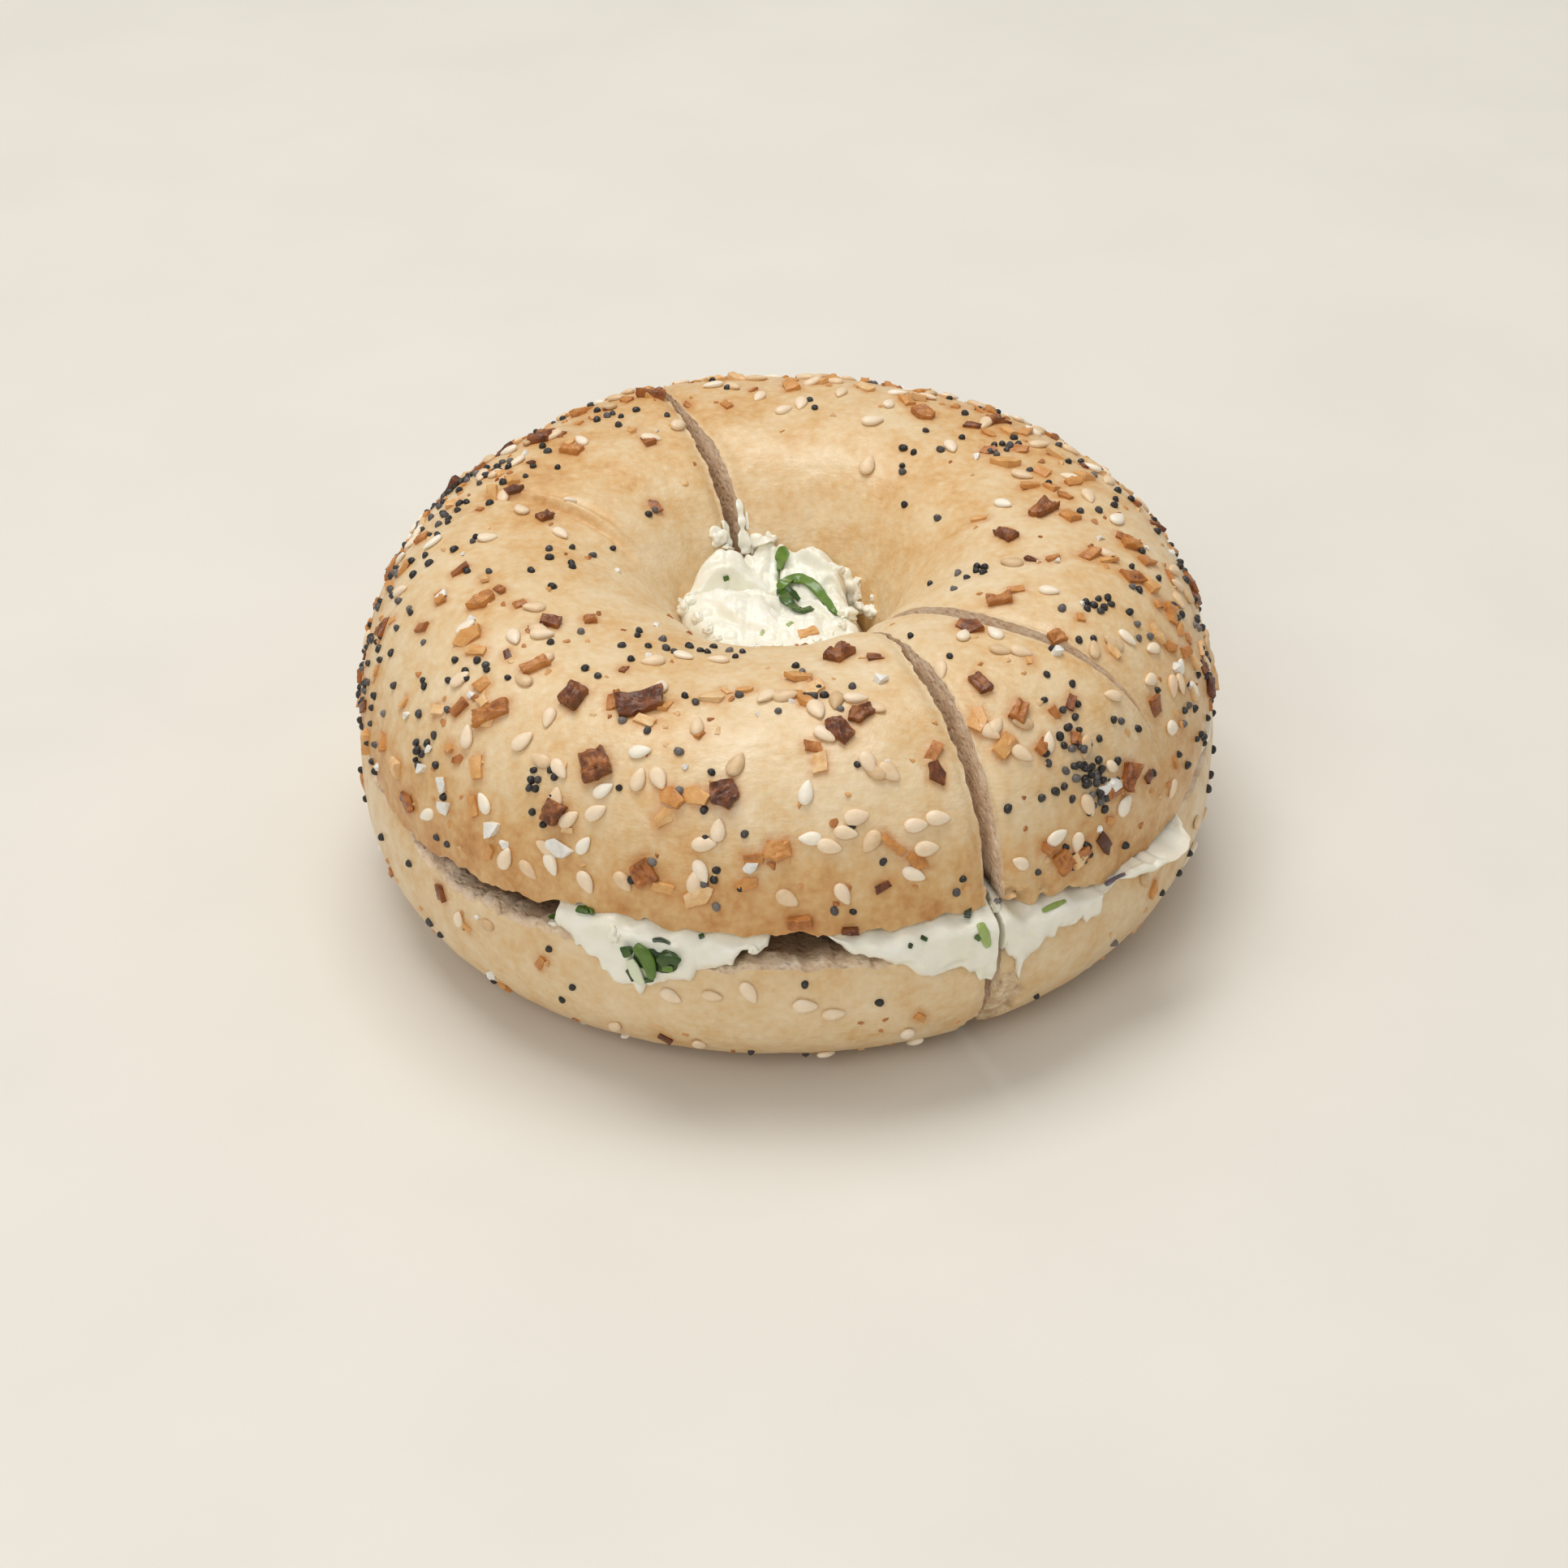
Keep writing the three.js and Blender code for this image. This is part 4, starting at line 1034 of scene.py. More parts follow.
def makeHeap():
    h = heap
    u = np.arange(h["turns"]) / h["turns"] * 2 * math.pi
    share = np.linspace(0, 1, h["rings"] + 1)[1:] ** 0.8
    edge = heapEdge(u)
    radius = edge[:, None] * share[None, :]
    x, y = radius * np.cos(u)[:, None], radius * np.sin(u)[:, None]
    roll = h["roll"] / edge[:, None]
    fall = np.clip((share[None, :] - (1 - roll)) / roll, 0, 1)
    top = heapHeight(x, y) - h["edgeDrop"] * (1 - np.sqrt(np.clip(1 - fall ** 2.2, 0, 1)))
    rows = [np.stack([x, y, top], axis=-1)]
    low = top[:, -1]
    for z, gap in ((0.25, 0.25), (0.5, 0.3), (0.75, 0.35), (1.0, 0.5)):
        height = mix(low, h["base"] + 2.2, z)
        wall = np.minimum(wallRadius(u, height), wallRadius(u, height * 0 + 33.0)) - gap - 0.12
        rows.append(onRing(u, wall, height)[:, None])
    for inward in (0.93, 0.8, 0.6, 0.35, 0.12):
        wall = wallRadius(u, u * 0 + 12.0) * inward
        height = h["base"] + 1.1 * inward + 0.5 * noise(onRing(u, wall, u * 0), 5.0, 151)
        rows.append(onRing(u, wall, height)[:, None])
    grid = np.concatenate(rows, axis=1)
    columns = grid.shape[1]
    crown = np.array([[0, 0, float(heapHeight(np.array(0.0), np.array(0.0)))]])
    sole = np.array([[0, 0, h["base"] + 0.2]])
    points = np.concatenate([grid.reshape(-1, 3), crown, sole])
    quads = gridFaces(h["turns"], columns, True, False)
    first = np.arange(h["turns"]) * columns
    after = np.roll(first, -1)
    top = np.full_like(first, len(points) - 2)
    base = np.full_like(first, len(points) - 1)
    caps = [np.stack([top, first, after], 1), np.stack([base, after + columns - 1, first + columns - 1], 1)]
    triangles = np.concatenate([quads[:, [0, 1, 2]], quads[:, [0, 2, 3]], *caps])
    piece = meshFrom("creamHeap", points, triangles, [creamFinish])
    turnOutwards(piece.data)
    return piece


def ballMesh(name, detail, radius, reshape):
    # A ball of the given radius in millimetres, its points moved by reshape.
    form = bmesh.new()
    bmesh.ops.create_icosphere(form, subdivisions=detail, radius=radius)
    for vert, point in zip(form.verts, reshape(np.array([v.co[:] for v in form.verts]))):
        vert.co = point * mm
    mesh = meshOfForm(form, name)
    shadeSmooth(mesh)
    return mesh


def lumpMesh(seed, flat, rough):
    # One uneven blob of half size 1 mm, flattened along z.
    def reshape(points):
        return points * (1 + rough * layeredNoise(points, 0.9, seed, 2))[:, None] * np.array([1, 0.85, flat])
    return ballMesh("creamLump", 4, 1.0, reshape)


def makeCreamBits():
    laid = [layOn(lumpMesh(161 + k, flat, rough), across, down, 47 * k, -0.15 * flat, 0.5, size)
            for k, (across, down, size, flat, rough) in enumerate(creamBits)]
    for k, (trail, widths, thick) in enumerate(creamSmears):
        laid.append(looseObject(stripMesh(trail, widths, thick, 180 + k, 0.7), 0.5))
    return joinAll("creamBits", laid, creamFinish)


def makeCreamFinish():
    material, board, shader, place = newFinish("creamCheese", Subsurface_Weight=0.35, Specular_IOR_Level=0.5,
                                               Coat_Weight=0.12, Coat_Roughness=0.25,
                                               Subsurface_Radius=(0.0022, 0.0018, 0.0011))
    swirl = board.noise(place, 4.0, 3.0, 0.5)
    fine = board.noise(place, 0.6, 3.0, 0.6)
    board.feed(shader, "Base Color", board.ramp(swirl, [(0.3, 238, 235, 217), (0.7, 246, 244, 232)]))
    board.feed(shader, "Roughness", board.span(swirl, 0.3, 0.7, 0.26, 0.42))
    height = board.math("ADD", board.math("MULTIPLY", swirl, 0.7), board.math("MULTIPLY", fine, 0.22))
    addBump(board, shader, height, 0.35, 0.55)
    return material


creamFinish = makeCreamFinish()
fillingPiece = makeFilling()
heapPiece = makeHeap()

# Middles of clusters, by their place in the photo's frame, with half size in mm and thickness of cover.
poppyClusters = [
    (1345, 960, 2.1, 2.6), (1335, 942, 1.7, 2.0), (1362, 968, 1.5, 1.8), (1319, 872, 1.3, 1.3),
    (1325, 893, 1.2, 1.2), (1282, 931, 1.3, 1.0), (1280, 984, 1.4, 1.1), (1331, 920, 1.4, 0.6),
    (1352, 745, 2.2, 0.8), (1372, 752, 2.0, 0.7), (1205, 708, 2.0, 0.6), (1178, 708, 1.6, 0.5),
    (548, 640, 2.7, 0.9), (575, 592, 2.9, 0.9), (603, 582, 2.4, 0.8), (520, 934, 1.9, 1.2),
    (1050, 1141, 1.1, 1.2), (898, 806, 1.7, 0.5), (1080, 772, 1.8, 0.5), (830, 798, 3.6, 0.25),
    (790, 800, 3.2, 0.2), (715, 690, 3.2, 0.26), (1030, 860, 3.6, 0.3), (1118, 565, 2.6, 0.6),
    (1138, 603, 2.8, 0.4), (1238, 545, 3.2, 0.5), (1265, 520, 3.2, 0.4), (1325, 1060, 2.2, 0.7),
    (890, 1112, 3.2, 0.3), (470, 760, 6.5, 0.2), (452, 850, 6.5, 0.22), (460, 950, 7.0, 0.14),
    (660, 965, 3.4, 0.25), (1465, 700, 7.0, 0.2), (1480, 800, 7.0, 0.16), (505, 700, 4.5, 0.25),
    (830, 930, 4.0, 0.12), (1400, 690, 6.0, 0.12), (880, 1070, 3.5, 0.2), (530, 870, 6.0, 0.1),
    (655, 985, 4.0, 0.14), (1300, 930, 5.0, 0.14), (1330, 1000, 5.0, 0.12), (450, 1000, 6.0, 0.1)]
sesameClusters = [
    (770, 960, 7.0, 0.5), (1050, 1000, 8.0, 0.35), (1020, 870, 4.5, 0.6), (830, 1050, 8.0, 0.3),
    (1310, 1000, 5.0, 0.3), (1215, 545, 6.0, 0.9), (1270, 600, 6.0, 0.5), (640, 900, 6.0, 0.3),
    (620, 540, 7.0, 0.5), (900, 465, 8.0, 0.6), (1080, 470, 7.0, 0.6), (1330, 700, 6.0, 0.35)]
flakeClusters = [
    (590, 730, 6.0, 0.5), (690, 810, 5.0, 0.5), (900, 1060, 4.5, 0.8), (1320, 1050, 2.6, 1.0),
    (1160, 520, 6.0, 0.5), (960, 930, 5.0, 0.3), (720, 500, 7.0, 0.9), (1060, 850, 4.0, 0.6),
    (1280, 900, 4.5, 0.3), (600, 870, 5.0, 0.3), (1380, 690, 7.0, 0.4), (1440, 760, 5.0, 0.4),
    (1250, 530, 5.0, 0.6), (640, 620, 5.0, 0.3), (950, 465, 7.0, 0.5)]

# The flakes that stand out: place in the photo's frame, length and width in mm, turn, thickness and tone.
bigFlakes = [
    (785, 870, 7.4, 4.4, 12, 1.5, 0.06), (733, 945, 4.6, 4.3, 20, 1.7, 0.14),
    (893, 978, 3.6, 3.5, 30, 1.6, 0.05), (608, 878, 6.2, 2.7, 24, 1.6, 0.34),
    (707, 861, 4.0, 3.4, 60, 1.8, 0.08), (1208, 843, 3.6, 2.5, -50, 1.2, 0.12),
    (1389, 955, 4.6, 2.8, 76, 1.6, 0.2), (1033, 901, 4.2, 2.8, -36, 1.6, 0.10),
    (1285, 630, 4.8, 2.8, 36, 1.5, 0.16), (1240, 660, 4.0, 2.2, -32, 1.3, 0.1),
    (683, 1000, 3.8, 3.2, 70, 1.7, 0.12), (794, 1076, 3.8, 3.4, -60, 1.6, 0.24),
    (1060, 880, 3.8, 2.4, 24, 1.5, 0.12), (1036, 808, 4.2, 2.6, 30, 1.6, 0.14),
    (1255, 879, 3.8, 2.6, 66, 1.5, 0.3), (661, 821, 5.0, 1.9, 24, 1.3, 0.4),
    (679, 768, 3.0, 2.0, -10, 1.3, 0.12), (594, 742, 3.6, 2.6, 30, 1.4, 0.42),
    (1232, 741, 4.0, 2.2, 10, 1.3, 0.3), (664, 543, 4.4, 2.2, 8, 1.4, 0.1),
    (705, 556, 4.0, 2.0, -10, 1.3, 0.42), (670, 638, 2.6, 1.6, 20, 1.1, 0.1),
    (1137, 512, 3.8, 2.4, -16, 1.4, 0.3), (1290, 528, 3.8, 2.2, -50, 1.3, 0.12),
    (1393, 673, 3.2, 2.2, -10, 1.3, 0.4), (984, 1136, 3.4, 2.4, 4, 1.4, 0.3),
    (1048, 1145, 2.4, 1.2, 0, 1.2, 0.1), (957, 1048, 3.6, 2.6, 20, 1.2, 0.5),
    (1303, 787, 2.6, 2.0, 20, 1.2, 0.36), (700, 480, 4.0, 2.4, -20, 1.4, 0.4),
    (803, 488, 4.6, 2.2, -6, 1.4, 0.2), (1225, 520, 3.0, 2.0, 10, 1.3, 0.2),
    (1420, 1095, 2.8, 1.2, 76, 0.7, 0.55), (1100, 1040, 4.0, 1.4, -38, 0.8, 0.5),
    (1308, 1062, 3.4, 2.8, -60, 1.5, 0.32), (727, 765, 2.0, 1.4, 0, 1.0, 0.3),
    (995, 781, 3.2, 1.7, 20, 0.7, 0.7), (1332, 1054, 3.0, 1.8, 50, 1.0, 0.25),
    (1290, 1046, 2.6, 1.4, -30, 0.9, 0.3)]
# Sesame seeds that stand out: place, length, turn and tone.
bigSesame = [
    (800, 857, 3.4, 12, 0.75), (577, 908, 3.1, 86, 0.6), (645, 914, 3.2, 36, 0.55),
    (735, 1001, 3.1, 28, 0.6), (702, 1009, 3.0, 34, 0.5), (1069, 940, 3.1, -64, 0.5),
    (1095, 952, 3.1, -40, 0.3), (1155, 1008, 3.2, 0, 0.6), (1128, 1017, 3.0, 6, 0.6),
    (1141, 1045, 3.1, 6, 0.5), (1055, 1007, 3.1, 10, 0.5), (1022, 1043, 3.1, -14, 0.5),
    (1042, 1026, 2.9, -8, 0.5), (1016, 906, 3.1, -34, 0.6), (1006, 876, 3.2, -62, 0.5),
    (1038, 1101, 3.0, -60, 0.6), (1301, 1031, 3.2, 34, 0.9), (1339, 992, 3.2, -64, 0.4),
    (1384, 992, 3.1, 62, 0.9), (1218, 902, 3.2, -34, 0.4), (1258, 929, 3.1, -30, 0.4),
    (624, 1057, 3.2, 66, 0.6), (723, 1086, 3.1, -64, 0.6), (868, 1040, 3.1, 4, 0.6),
    (856, 1086, 3.1, 78, 0.5), (668, 783, 3.1, 0, 0.5), (568, 838, 2.9, 34, 0.5), (859, 896, 2.8, 84, 0.35),
    (907, 943, 3.4, 60, 0.1), (787, 961, 3.0, 70, 0.5), (812, 960, 3.0, -66, 0.5),
    (690, 948, 3.0, -56, 0.6), (744, 974, 2.8, 30, 0.95), (789, 927, 2.8, 8, 0.95),
    (885, 1023, 2.8, 84, 0.6), (993, 977, 3.1, 78, 0.95), (720, 1041, 2.7, 52, 0.98),
    (1075, 520, 3.2, 8, 0.6), (1069, 574, 3.1, 70, 0.3), (835, 525, 3.2, 40, 0.5),
    (923, 1222, 3.2, -58, 0.6), (827, 1226, 2.9, -30, 0.6), (992, 1238, 3.1, 0, 0.6),
    (1027, 1248, 2.9, 6, 0.5), (878, 1226, 2.6, -10, 0.4), (567, 1131, 2.6, 80, 0.7),
    (1376, 641, 3.0, 40, 0.9), (1452, 822, 2.6, 80, 0.98)]
whiteGrains = [
    (546, 967, 2.0, 80), (549, 993, 2.0, 70), (522, 948, 1.6, 60), (1370, 965, 2.2, 40),
    (1358, 972, 1.8, 10), (691, 1043, 3.0, 24), (609, 1023, 2.6, 70), (1448, 822, 1.8, 80),
    (530, 923, 1.2, 20), (925, 1067, 1.6, 60), (1303, 806, 1.6, 40), (1085, 838, 1.7, 20),
    (545, 735, 1.6, 10)]

# How each topping falls: number per square mm, gap in mm, smallest and largest size, sink in mm, tilt in
# radians, seed of the draw, and the attribute that says where.
fallSettings = ("name", "perSquareMm", "gap", "smallest", "largest", "sink", "tilt", "seed", "likely")
poppy, poppyPile, sesame, onion, garlic, salt = (dict(zip(fallSettings, row)) for row in (
    ("poppySeeds", 1.1, 0.9, 0.88, 1.16, -0.14, 1.2, 3, "poppyLikely"),
    ("poppyPile", 1.2, 0.85, 0.9, 1.1, -0.85, 1.2, 5, "pileLikely"),
    ("sesameSeeds", 0.064, 2.15, 0.88, 1.06, -0.22, 0.16, 8, "sesameLikely"),
    ("onionFlakes", 0.085, 2.1, 0.5, 1.15, -0.12, 0.3, 12, "flakeLikely"),
    ("garlicGranules", 0.08, 1.7, 0.7, 1.35, 0.1, 0.5, 17, "granuleLikely"),
    ("coarseSalt", 0.02, 2.5, 0.7, 1.2, -0.1, 0.8, 29, "saltLikely")))


def smallMesh(name, points, faces, sharpAngle=None):
    mesh = bpy.data.meshes.new(name)
    mesh.from_pydata((np.asarray(points) * mm).tolist(), [], [tuple(int(k) for k in face) for face in faces])
    turnOutwards(mesh)
    shadeSmooth(mesh, sharpAngle)
    return mesh


def hullMesh(name, points, sharpAngle):
    form = bmesh.new()
    for point in points:
        form.verts.new(point * mm)
    made = bmesh.ops.convex_hull(form, input=form.verts)
    loose = [v for v in made["geom_interior"] + made["geom_unused"] if isinstance(v, bmesh.types.BMVert)]
    bmesh.ops.delete(form, geom=loose, context="VERTS")
    bmesh.ops.recalc_face_normals(form, faces=form.faces)
    mesh = meshOfForm(form, name)
    shadeSmooth(mesh, sharpAngle)
    return mesh


def poppyMesh(k):
    # A round seed with a notch at one end and a pit on top.
    def reshape(points):
        x, y, z = points.T
        notch = 1 - 0.22 * np.exp(-((y - 0.5) ** 2 + x ** 2) / 0.07)
        pit = 1 - 0.16 * np.exp(-((z - 0.5) ** 2 + x ** 2 + y ** 2) / 0.05)
        grown = (1 + 0.07 * noise(points, 0.4, 201 + k)) * notch * pit
        return points * grown[:, None] * np.array([1.1, 0.92 + 0.05 * (k % 3), 0.9])
    return ballMesh(f"poppy{k}", 2, 0.53, reshape)


def ovalMesh(name, profile, around, bend=0.0, level=1.0):
    # Closed form with its long side along x: profile gives (x, half width, half height) from end to end.
    points = [(profile[0][0], 0, 0)]
    for x, halfWidth, halfHeight in profile[1:-1]:
        for k in range(around):
            turn = 2 * math.pi * k / around
            flat = abs(math.sin(turn)) ** level * np.sign(math.sin(turn))
            points.append((x, halfWidth * math.cos(turn), halfHeight * flat + bend * x * x))
    points.append((profile[-1][0], 0, 0))
    faces = [(0, 1 + (k + 1) % around, 1 + k) for k in range(around)]
    for ring in range(len(profile) - 3):
        start = 1 + ring * around
        faces += [(start + k, start + (k + 1) % around, start + around + (k + 1) % around, start + around + k)
                  for k in range(around)]
    start, last = 1 + (len(profile) - 3) * around, len(points) - 1
    faces += [(last, start + k, start + (k + 1) % around) for k in range(around)]
    return smallMesh(name, points, faces)


def sesameMesh(k, length=3.0):
    wide, thick = (1.75 + 0.12 * (k % 3)) / 2, 0.42 + 0.05 * (k % 2)
    profile = []
    for step in range(9):
        t = -math.cos(math.pi * step / 8)
        swell = math.sqrt(max(0, 1 - t * t)) * (1 - 0.30 * t - 0.14 * t * t)
        profile.append((t * length / 2, wide * swell, thick * swell ** 0.7))
    return ovalMesh(f"sesame{k}", profile, 10, 0.02 * (k % 3 - 1))


def flakeMesh(k, length, width, thick, sides, rings, seed, craggy=0.2, curl=0.0):
    # A broken flake of dried onion: a flat angular slab with ridges along it, bent and a little cupped.
    random = np.random.default_rng(seed)
    corners = 4 + (seed % 5 == 2)
    turn = (np.arange(corners) + 0.5 + random.uniform(-0.14, 0.14, corners)) / corners * 2 * math.pi
    reach = random.uniform(0.95, 1.22, corners)
    corner = np.stack([reach * np.cos(turn), reach * np.sin(turn)], axis=1)
    perSide = max(2, sides // corners)
    share = np.arange(perSide) / perSide
    outline = np.concatenate([mix(corner[j - 1], corner[j % corners], share[:, None])
                              for j in range(1, corners + 1)])
    sides = len(outline)
    spots = np.c_[outline * 2, np.full(sides, seed * 3.7)]
    outline = outline * (1 + 0.07 * noise(spots, 0.55, seed))[:, None]
    points = [(0, 0, 0.5)]
    for s in np.linspace(0, 1, rings + 1)[1:]:
        points += [(x * s, y * s, 0.5 - 0.16 * s ** 6) for x, y in outline]
    points += [(x * 1.02, y * 1.02, -0.1) for x, y in outline]
    points += [(x * 0.93, y * 0.93, -0.5) for x, y in outline] + [(0, 0, -0.5)]
    points = np.array(points) * np.array([length / 2, width / 2, thick])
    top = points[:, 2] > 0
    ridges = noise(np.c_[points[:, 0] * 0.22, points[:, 1] * 1.5, points[:, 2] * 0], 0.5, seed + 3)
    rough = craggy * (noise(points, 0.9, seed + 1) + 0.5 * noise(points, 0.4, seed + 2))
    rough = thick * (rough + 0.16 * ridges)
    points[:, 2] += np.where(top, rough, 0.2 * rough)
    points[:, 2] += (random.uniform(-0.03, 0.05) + curl) * points[:, 1] ** 2
    points[:, 2] += random.uniform(-0.02, 0.05) * points[:, 0] ** 2
    faces = [(0, 1 + j, 1 + (j + 1) % sides) for j in range(sides)]
    for ring in range(rings + 1):
        start = 1 + ring * sides
        faces += [(start + j, start + sides + j, start + sides + (j + 1) % sides, start + (j + 1) % sides)
                  for j in range(sides)]
    last, start = len(points) - 1, 1 + (rings + 1) * sides
    faces += [(last, start + (j + 1) % sides, start + j) for j in range(sides)]
    return smallMesh(f"flake{k}", points, faces, 34)


def granuleMesh(k, boxy=False):
    random = np.random.default_rng(300 + k)
    points = random.normal(size=(13, 3))
    points /= np.linalg.norm(points, axis=1, keepdims=True)
    if boxy:
        points = np.sign(points) * np.abs(points) ** 0.55
    size = np.array([0.62, 0.5, 0.4]) * (0.9 + 0.2 * random.random(3))
    return hullMesh(f"granule{k}{'b' if boxy else ''}", points * size, 45)


scatterInputs = {"Geometry": ["Geometry"], "Object": ["Surface"], "Collection": ["Kinds"],
                 "Material": ["Finish"], "String": ["Likely"], "Int": ["Seed"],
                 "Float": ["Density", "Gap", "Smallest", "Largest", "Sink"],
                 "Vector": ["Least Turn", "Most Turn"]}


def buildScatterTree():
    tree = bpy.data.node_groups.new("scatterOnCrust", "GeometryNodeTree")
    for kind, names in scatterInputs.items():
        for name in names:
            tree.interface.new_socket(name, in_out="INPUT", socket_type="NodeSocket" + kind)
    tree.interface.new_socket("Geometry", in_out="OUTPUT", socket_type="NodeSocketGeometry")
    board = nodeBoard(tree)
    given = board.add("NodeGroupInput").outputs
    surface = board.add("GeometryNodeObjectInfo", {"transform_space": "ORIGINAL"}, Object=given["Surface"])
    likely = board.add("GeometryNodeInputNamedAttribute", {"data_type": "FLOAT"}, Name=given["Likely"])
    spots = board.add("GeometryNodeDistributePointsOnFaces", {"distribute_method": "POISSON"},
                      Mesh=surface.outputs["Geometry"], Distance_Min=given["Gap"],
                      Density_Max=given["Density"], Density_Factor=likely.outputs["Attribute"],
                      Seed=given["Seed"])
    kinds = board.add("GeometryNodeCollectionInfo", None, Collection=given["Kinds"], Separate_Children=True,
                      Reset_Children=True)
    turn = board.add("FunctionNodeRandomValue", {"data_type": "FLOAT_VECTOR"}, i0=given["Least Turn"],
                     i1=given["Most Turn"], Seed=given["Seed"])
    asTurn = board.add("FunctionNodeEulerToRotation", None, Euler=turn.outputs[0])
    turned = board.add("FunctionNodeRotateRotation", {"rotation_space": "LOCAL"},
                       Rotation=spots.outputs["Rotation"], Rotate_By=asTurn.outputs[0])
    size = board.add("FunctionNodeRandomValue", {"data_type": "FLOAT"}, i2=given["Smallest"],
                     i3=given["Largest"], Seed=given["Seed"])
    placed = board.add("GeometryNodeInstanceOnPoints", None, Points=spots.outputs["Points"],
                       Instance=kinds.outputs[0], Pick_Instance=True, Rotation=turned.outputs[0],
                       Scale=size.outputs[1])
    down = board.add("ShaderNodeCombineXYZ", None, Z=board.math("MULTIPLY", given["Sink"], -1.0))
    sunk = board.add("GeometryNodeTranslateInstances", None, Instances=placed.outputs[0],
                     Translation=down.outputs[0], Local_Space=True)
    tone = board.add("FunctionNodeRandomValue", {"data_type": "FLOAT"}, i2=0.0, i3=1.0, Seed=91)
    toned = board.add("GeometryNodeStoreNamedAttribute", {"data_type": "FLOAT", "domain": "INSTANCE"},
                      Geometry=sunk.outputs[0], Name="tone", Value=tone.outputs[1])
    real = board.add("GeometryNodeRealizeInstances", None, Geometry=toned.outputs[0])
    finished = board.add("GeometryNodeSetMaterial", None, Geometry=real.outputs[0], Material=given["Finish"])
    end = board.add("NodeGroupOutput")
    tree.links.new(finished.outputs[0], end.inputs[0])
    return tree


def scatter(kind, meshes, surface, finish):
    # Lets a kind of topping fall on the crust, as one plain mesh.
    variants = bpy.data.collections.new(kind["name"] + "Kinds")
    for mesh in meshes:
        variants.objects.link(bpy.data.objects.new(mesh.name, mesh))
    piece = sceneObject(kind["name"], bpy.data.meshes.new(kind["name"]))
    change = piece.modifiers.new("scatter", "NODES")
    change.node_group = scatterTree
    tilt = kind["tilt"]
    values = {"Surface": surface, "Kinds": variants, "Finish": finish, "Likely": kind["likely"],
              "Density": kind["perSquareMm"] / mm ** 2, "Gap": kind["gap"] * mm, "Smallest": kind["smallest"],
              "Largest": kind["largest"], "Sink": kind["sink"] * mm, "Least Turn": (-tilt, -tilt, -math.pi),
              "Most Turn": (tilt, tilt, math.pi), "Seed": kind["seed"]}
    for socket in scatterTree.interface.items_tree:
        if socket.in_out == "INPUT" and socket.name in values:
            change[socket.identifier] = values[socket.name]
    finishedMesh(piece)
    for variant in list(variants.objects):
        bpy.data.objects.remove(variant)
    bpy.data.collections.remove(variants)
    return piece


def viewRay(across, down):
    # Start and direction, in metres, of the line of sight through a place in the photo's frame.
    turn = bpy.context.scene.camera.matrix_world
    middle = viewpoint["image"] / 2
    focal = viewpoint["focal"]
    aim = Vector(((across - middle) / focal, -(down - middle) / focal, -1)).normalized()
    return turn.translation, (turn.to_3x3() @ aim).normalized()


def seenAt(across, down):
    # Place and outward direction of the bagel's surface there.
    start, aim = viewRay(across, down)
    place, normal, _, _ = nearSurface.ray_cast(start, aim)
    if place is None:
        return None
    return place, (normal if normal.dot(aim) < 0 else -normal)


def layOn(mesh, across, down, turn, sink, tone, size=1.0):
    # A copy of a small mesh set on the surface, turned as it is seen in the photo.
    found = seenAt(across, down)
    if found is None:
        return None
    place, up = found
    camera = bpy.context.scene.camera.matrix_world.to_3x3()
    along = camera @ Vector((math.cos(turn * degree), math.sin(turn * degree), 0))
    aim = camera @ Vector((0, 0, -1))
    along = (along - aim * (along.dot(up) / aim.dot(up))).normalized()
    lie = Matrix((along, up.cross(along).normalized(), up)).transposed().to_4x4()
    laid = mesh.copy()
    laid.transform(Matrix.Translation(place - up * sink * mm) @ lie @ Matrix.Scale(size, 4))
    return looseObject(laid, tone)


def joinAll(name, pieces, finish):
    pieces = [piece for piece in pieces if piece is not None]
    for piece in pieces:
        piece.data.materials.clear()
        piece.data.materials.append(finish)
    if len(pieces) > 1:
        with bpy.context.temp_override(active_object=pieces[0], selected_editable_objects=pieces):
            bpy.ops.object.join()
    pieces[0].name = pieces[0].data.name = name
    return pieces[0]


def clusterCover(points, clusters):
    # Thickness of cover at each point from a list of clusters.
    cover = np.zeros(len(points))
    for across, down, size, thick in clusters:
        found = seenAt(across, down)
        if found is not None:
            gap = np.linalg.norm((points + holeAxis) * mm - np.array(found[0]), axis=1) / (size * mm)
            cover = cover + thick * np.exp(-gap ** 2)
    return cover


